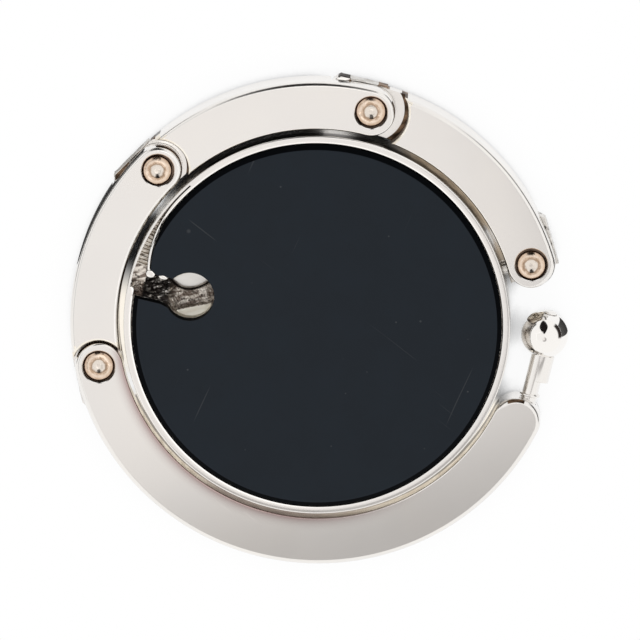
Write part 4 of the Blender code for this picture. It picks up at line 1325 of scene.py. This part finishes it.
def studio_floor():
    """Pure white sweep that still darkens under and beside the hook, is clear from below, and has painted shade and
    glow in the gap.
    """
    shape = bmesh.new()
    bmesh.ops.create_grid(shape, x_segments=1, y_segments=1, size=6)
    floor = new_piece("studio_floor", shape, Matrix.Translation((1.7, -0.9, -0.00002)))
    material = bpy.data.materials.new("white_sweep")
    material.use_nodes = True
    tree = material.node_tree
    tree.nodes.clear()
    path = add(tree, "ShaderNodeLightPath").outputs
    seen = maths(tree, "MAXIMUM", path["Is Camera Ray"], path["Is Glossy Ray"])
    seen = maths(tree, "MAXIMUM", seen, path["Is Transmission Ray"])
    close, wide = [
        add(tree, "ShaderNodeAmbientOcclusion", {"Distance": distance}, samples=12).outputs["AO"]
        for distance in (0.0022, 0.009)
    ]
    shade = product(
        tree, spread(tree, close, 0.20, 0.58, 0.01, 1.0, False), spread(tree, wide, 0.25, 0.80, 0.955, 1.0, False)
    )
    spotted = flattened(tree, add(tree, "ShaderNodeTexCoord").outputs["Object"])
    reach = arrows(tree, "LENGTH", spotted)
    level = arrows(tree, "NORMALIZE", spotted)
    # Painted shade under the ring's gap round the disc, and a painted tan and cream glow there for the links' inner
    # sides to reflect
    hidden = spread(tree, close, 0.50, 0.38)
    covered = spot(tree, level, polar(1, 92), 70, 84)
    painted_gap_shade = product(tree, covered, hidden, spread(tree, reach, 0.0192, 0.0185))
    shade = product(tree, shade, spread(tree, painted_gap_shade, 0.0, 1.0, 1.0, 0.08, False))
    painted_tan_glow = product(tree, painted_gap_shade, spot(tree, level, polar(1, 38), 18, 32))
    shade = maths(tree, "MAXIMUM", shade, maths(tree, "MULTIPLY", painted_tan_glow, 0.40))
    bare = maths(tree, "MAXIMUM", covered, spot(tree, level, polar(1, -6), 17, 22))
    bare = maths(tree, "SUBTRACT", 1.0, bare)
    painted_cream_glow = product(tree, bare, hidden, spread(tree, reach, 0.0192, 0.0187))
    shade = maths(tree, "MAXIMUM", shade, painted_cream_glow)
    tint = blend_colour(tree, painted_cream_glow, (1.0, 1.0, 1.0), (1.0, 0.93, 0.82))
    tint = blend_colour(tree, painted_tan_glow, tint, (1.0, 0.80, 0.58))
    glow = add(tree, "ShaderNodeEmission", {"Color": tint, "Strength": shade})
    matt = add(tree, "ShaderNodeBsdfDiffuse", {"Color": (0.88, 0.88, 0.88, 1)})
    mixed = add(tree, "ShaderNodeMixShader", {0: seen, 1: matt.outputs[0], 2: glow.outputs[0]})
    touching = product(tree, path["Is Glossy Ray"], maths(tree, "LESS_THAN", path["Ray Length"], 0.0001))
    below = maths(tree, "MAXIMUM", add(tree, "ShaderNodeNewGeometry").outputs["Backfacing"], touching)
    clear = add(tree, "ShaderNodeBsdfTransparent")
    parted = add(tree, "ShaderNodeMixShader", {0: below, 1: mixed.outputs[0], 2: clear.outputs[0]})
    add(tree, "ShaderNodeOutputMaterial", {"Surface": parted.outputs[0]})
    floor.data.materials.append(material)


def opening(tree, direction, towards, wide, tall):
    """1 inside a kite-shaped opening of the tent, wide and tall in degrees from its middle."""
    aim = Vector(towards).normalized()
    level = Vector((-aim.y, aim.x, 0)).normalized()
    ahead = arrows(tree, "DOT_PRODUCT", direction, aim)
    parts = []
    for axis, reach in ((level, wide), (aim.cross(level), tall)):
        value = maths(tree, "ABSOLUTE", arrows(tree, "DOT_PRODUCT", direction, axis))
        parts.append(maths(tree, "POWER", maths(tree, "MULTIPLY", value, 1 / math.sin(math.radians(reach))), 1.45))
    inside = spread(tree, maths(tree, "ADD", *parts), 1.06, 0.94)
    return product(tree, inside, maths(tree, "GREATER_THAN", ahead, 0.0))


def spot(tree, direction, towards, inner, outer):
    """1 within inner degrees of a direction, falling to 0 at outer degrees."""
    match = arrows(tree, "DOT_PRODUCT", direction, Vector(towards).normalized())
    return spread(tree, match, math.cos(math.radians(outer)), math.cos(math.radians(inner)))


def lamp_square(tree, direction, height):
    """1 where the lamp hangs in front of the tent, seen from the ball."""
    turn = math.radians(LAMP_TURN)
    seen_from = polar(PITCH_RADIUS, BALL_ANGLE)
    half = LAMP_SIZE / 2 / LAMP_PLACE[2]
    inside = maths(tree, "GREATER_THAN", height, 0.1)
    for axis in (Vector((math.cos(turn), math.sin(turn), 0)), Vector((-math.sin(turn), math.cos(turn), 0))):
        middle = (Vector(LAMP_PLACE) - seen_from).dot(axis) / LAMP_PLACE[2]
        value = maths(tree, "DIVIDE", arrows(tree, "DOT_PRODUCT", direction, axis), height)
        offset = maths(tree, "ABSOLUTE", maths(tree, "SUBTRACT", value, middle))
        inside = product(tree, inside, spread(tree, offset, half + 0.03, half - 0.03))
    return inside


def light_dome():
    """Pale tent, grey behind the lamp and in the flat faces' mirror direction, with three dark parts."""
    world = bpy.data.worlds.new("light_tent")
    bpy.context.scene.world = world
    world.use_nodes = True
    tree = world.node_tree
    tree.nodes.clear()
    direction = add(tree, "ShaderNodeTexCoord").outputs["Generated"]
    height = parts_of(tree, direction)["Z"]
    level = arrows(tree, "NORMALIZE", flattened(tree, direction))
    tent = blend_colour(tree, lamp_square(tree, direction, height), (1.0, 0.99, 0.975), (0.47, 0.468, 0.461))
    tent = blend_colour(tree, spot(tree, direction, MIRRORED_CAMERA, 7, 13), tent, (0.405, 0.389, 0.380))
    for azimuth, inner, outer, top in DARK_SECTORS:
        low = spread(tree, height, top, top - 0.12)
        side = product(tree, spot(tree, level, polar(1, azimuth), inner, outer), low)
        tent = blend_colour(tree, side, tent, (0.030, 0.024, 0.022))
    tent = blend_colour(tree, opening(tree, direction, *DARK_OPENING), tent, (0.012, 0.010, 0.010))
    path = add(tree, "ShaderNodeLightPath").outputs
    seen = maths(tree, "MAXIMUM", path["Is Camera Ray"], path["Is Transmission Ray"])
    shown = blend_colour(tree, seen, tent, (1.0, 1.0, 1.0))
    light = add(tree, "ShaderNodeBackground", {"Color": shown, "Strength": 1.0})
    add(tree, "ShaderNodeOutputWorld", {"Surface": light.outputs[0]})


def dark_card(name, distance, angle, inner, outer, start, end):
    """Black card that lies beside the hook and shows only in its polished faces."""
    centre = polar(distance, angle)
    outline = arc(centre, outer, start, end, 24) + arc(centre, inner, end, start, 24)
    card = prism(name, outline, 0.00001, 0.00003)
    material = bpy.data.materials.new(name)
    material.use_nodes = True
    material.node_tree.nodes["Principled BSDF"].inputs["Base Color"].default_value = (0.01, 0.01, 0.01, 1)
    card.data.materials.append(material)
    card.visible_camera = card.visible_diffuse = card.visible_shadow = False


def overhead_lamp():
    """Soft lamp whose edge falls across the ring, brighter to the upper left."""
    lamp = bpy.data.lights.new("overhead_lamp", "AREA")
    lamp.shape = "SQUARE"
    lamp.size = LAMP_SIZE
    lamp.energy = LAMP_GLOW * math.pi * LAMP_SIZE * LAMP_SIZE
    lamp.color = (1.0, 0.985, 0.97)
    holder = bpy.data.objects.new("overhead_lamp", lamp)
    bpy.context.scene.collection.objects.link(holder)
    holder.location = LAMP_PLACE
    holder.rotation_euler = (0, 0, math.radians(LAMP_TURN))
    holder.visible_camera = False


def camera():
    towards = Vector(TOWARDS_CAMERA).normalized()
    across = Vector((0, 1, 0)).cross(towards).normalized()
    data = bpy.data.cameras.new("photo_camera")
    data.sensor_width = SENSOR_WIDTH
    data.lens = SENSOR_WIDTH * CAMERA_DISTANCE / (PICTURE_PIXELS * PIXEL_SIZE)
    data.clip_start, data.clip_end = 0.01, 10
    holder = bpy.data.objects.new("photo_camera", data)
    bpy.context.scene.collection.objects.link(holder)
    turn = Matrix((across, towards.cross(across), towards)).transposed().to_4x4()
    holder.matrix_world = Matrix.Translation(Vector(CAMERA_TARGET) + towards * CAMERA_DISTANCE) @ turn
    bpy.context.scene.camera = holder


dress_hook()
studio_floor()
for card in DARK_CARDS:
    dark_card(*card)
light_dome()
overhead_lamp()
camera()
bpy.context.scene.view_settings.view_transform = "Standard"
bpy.context.view_layer.update()
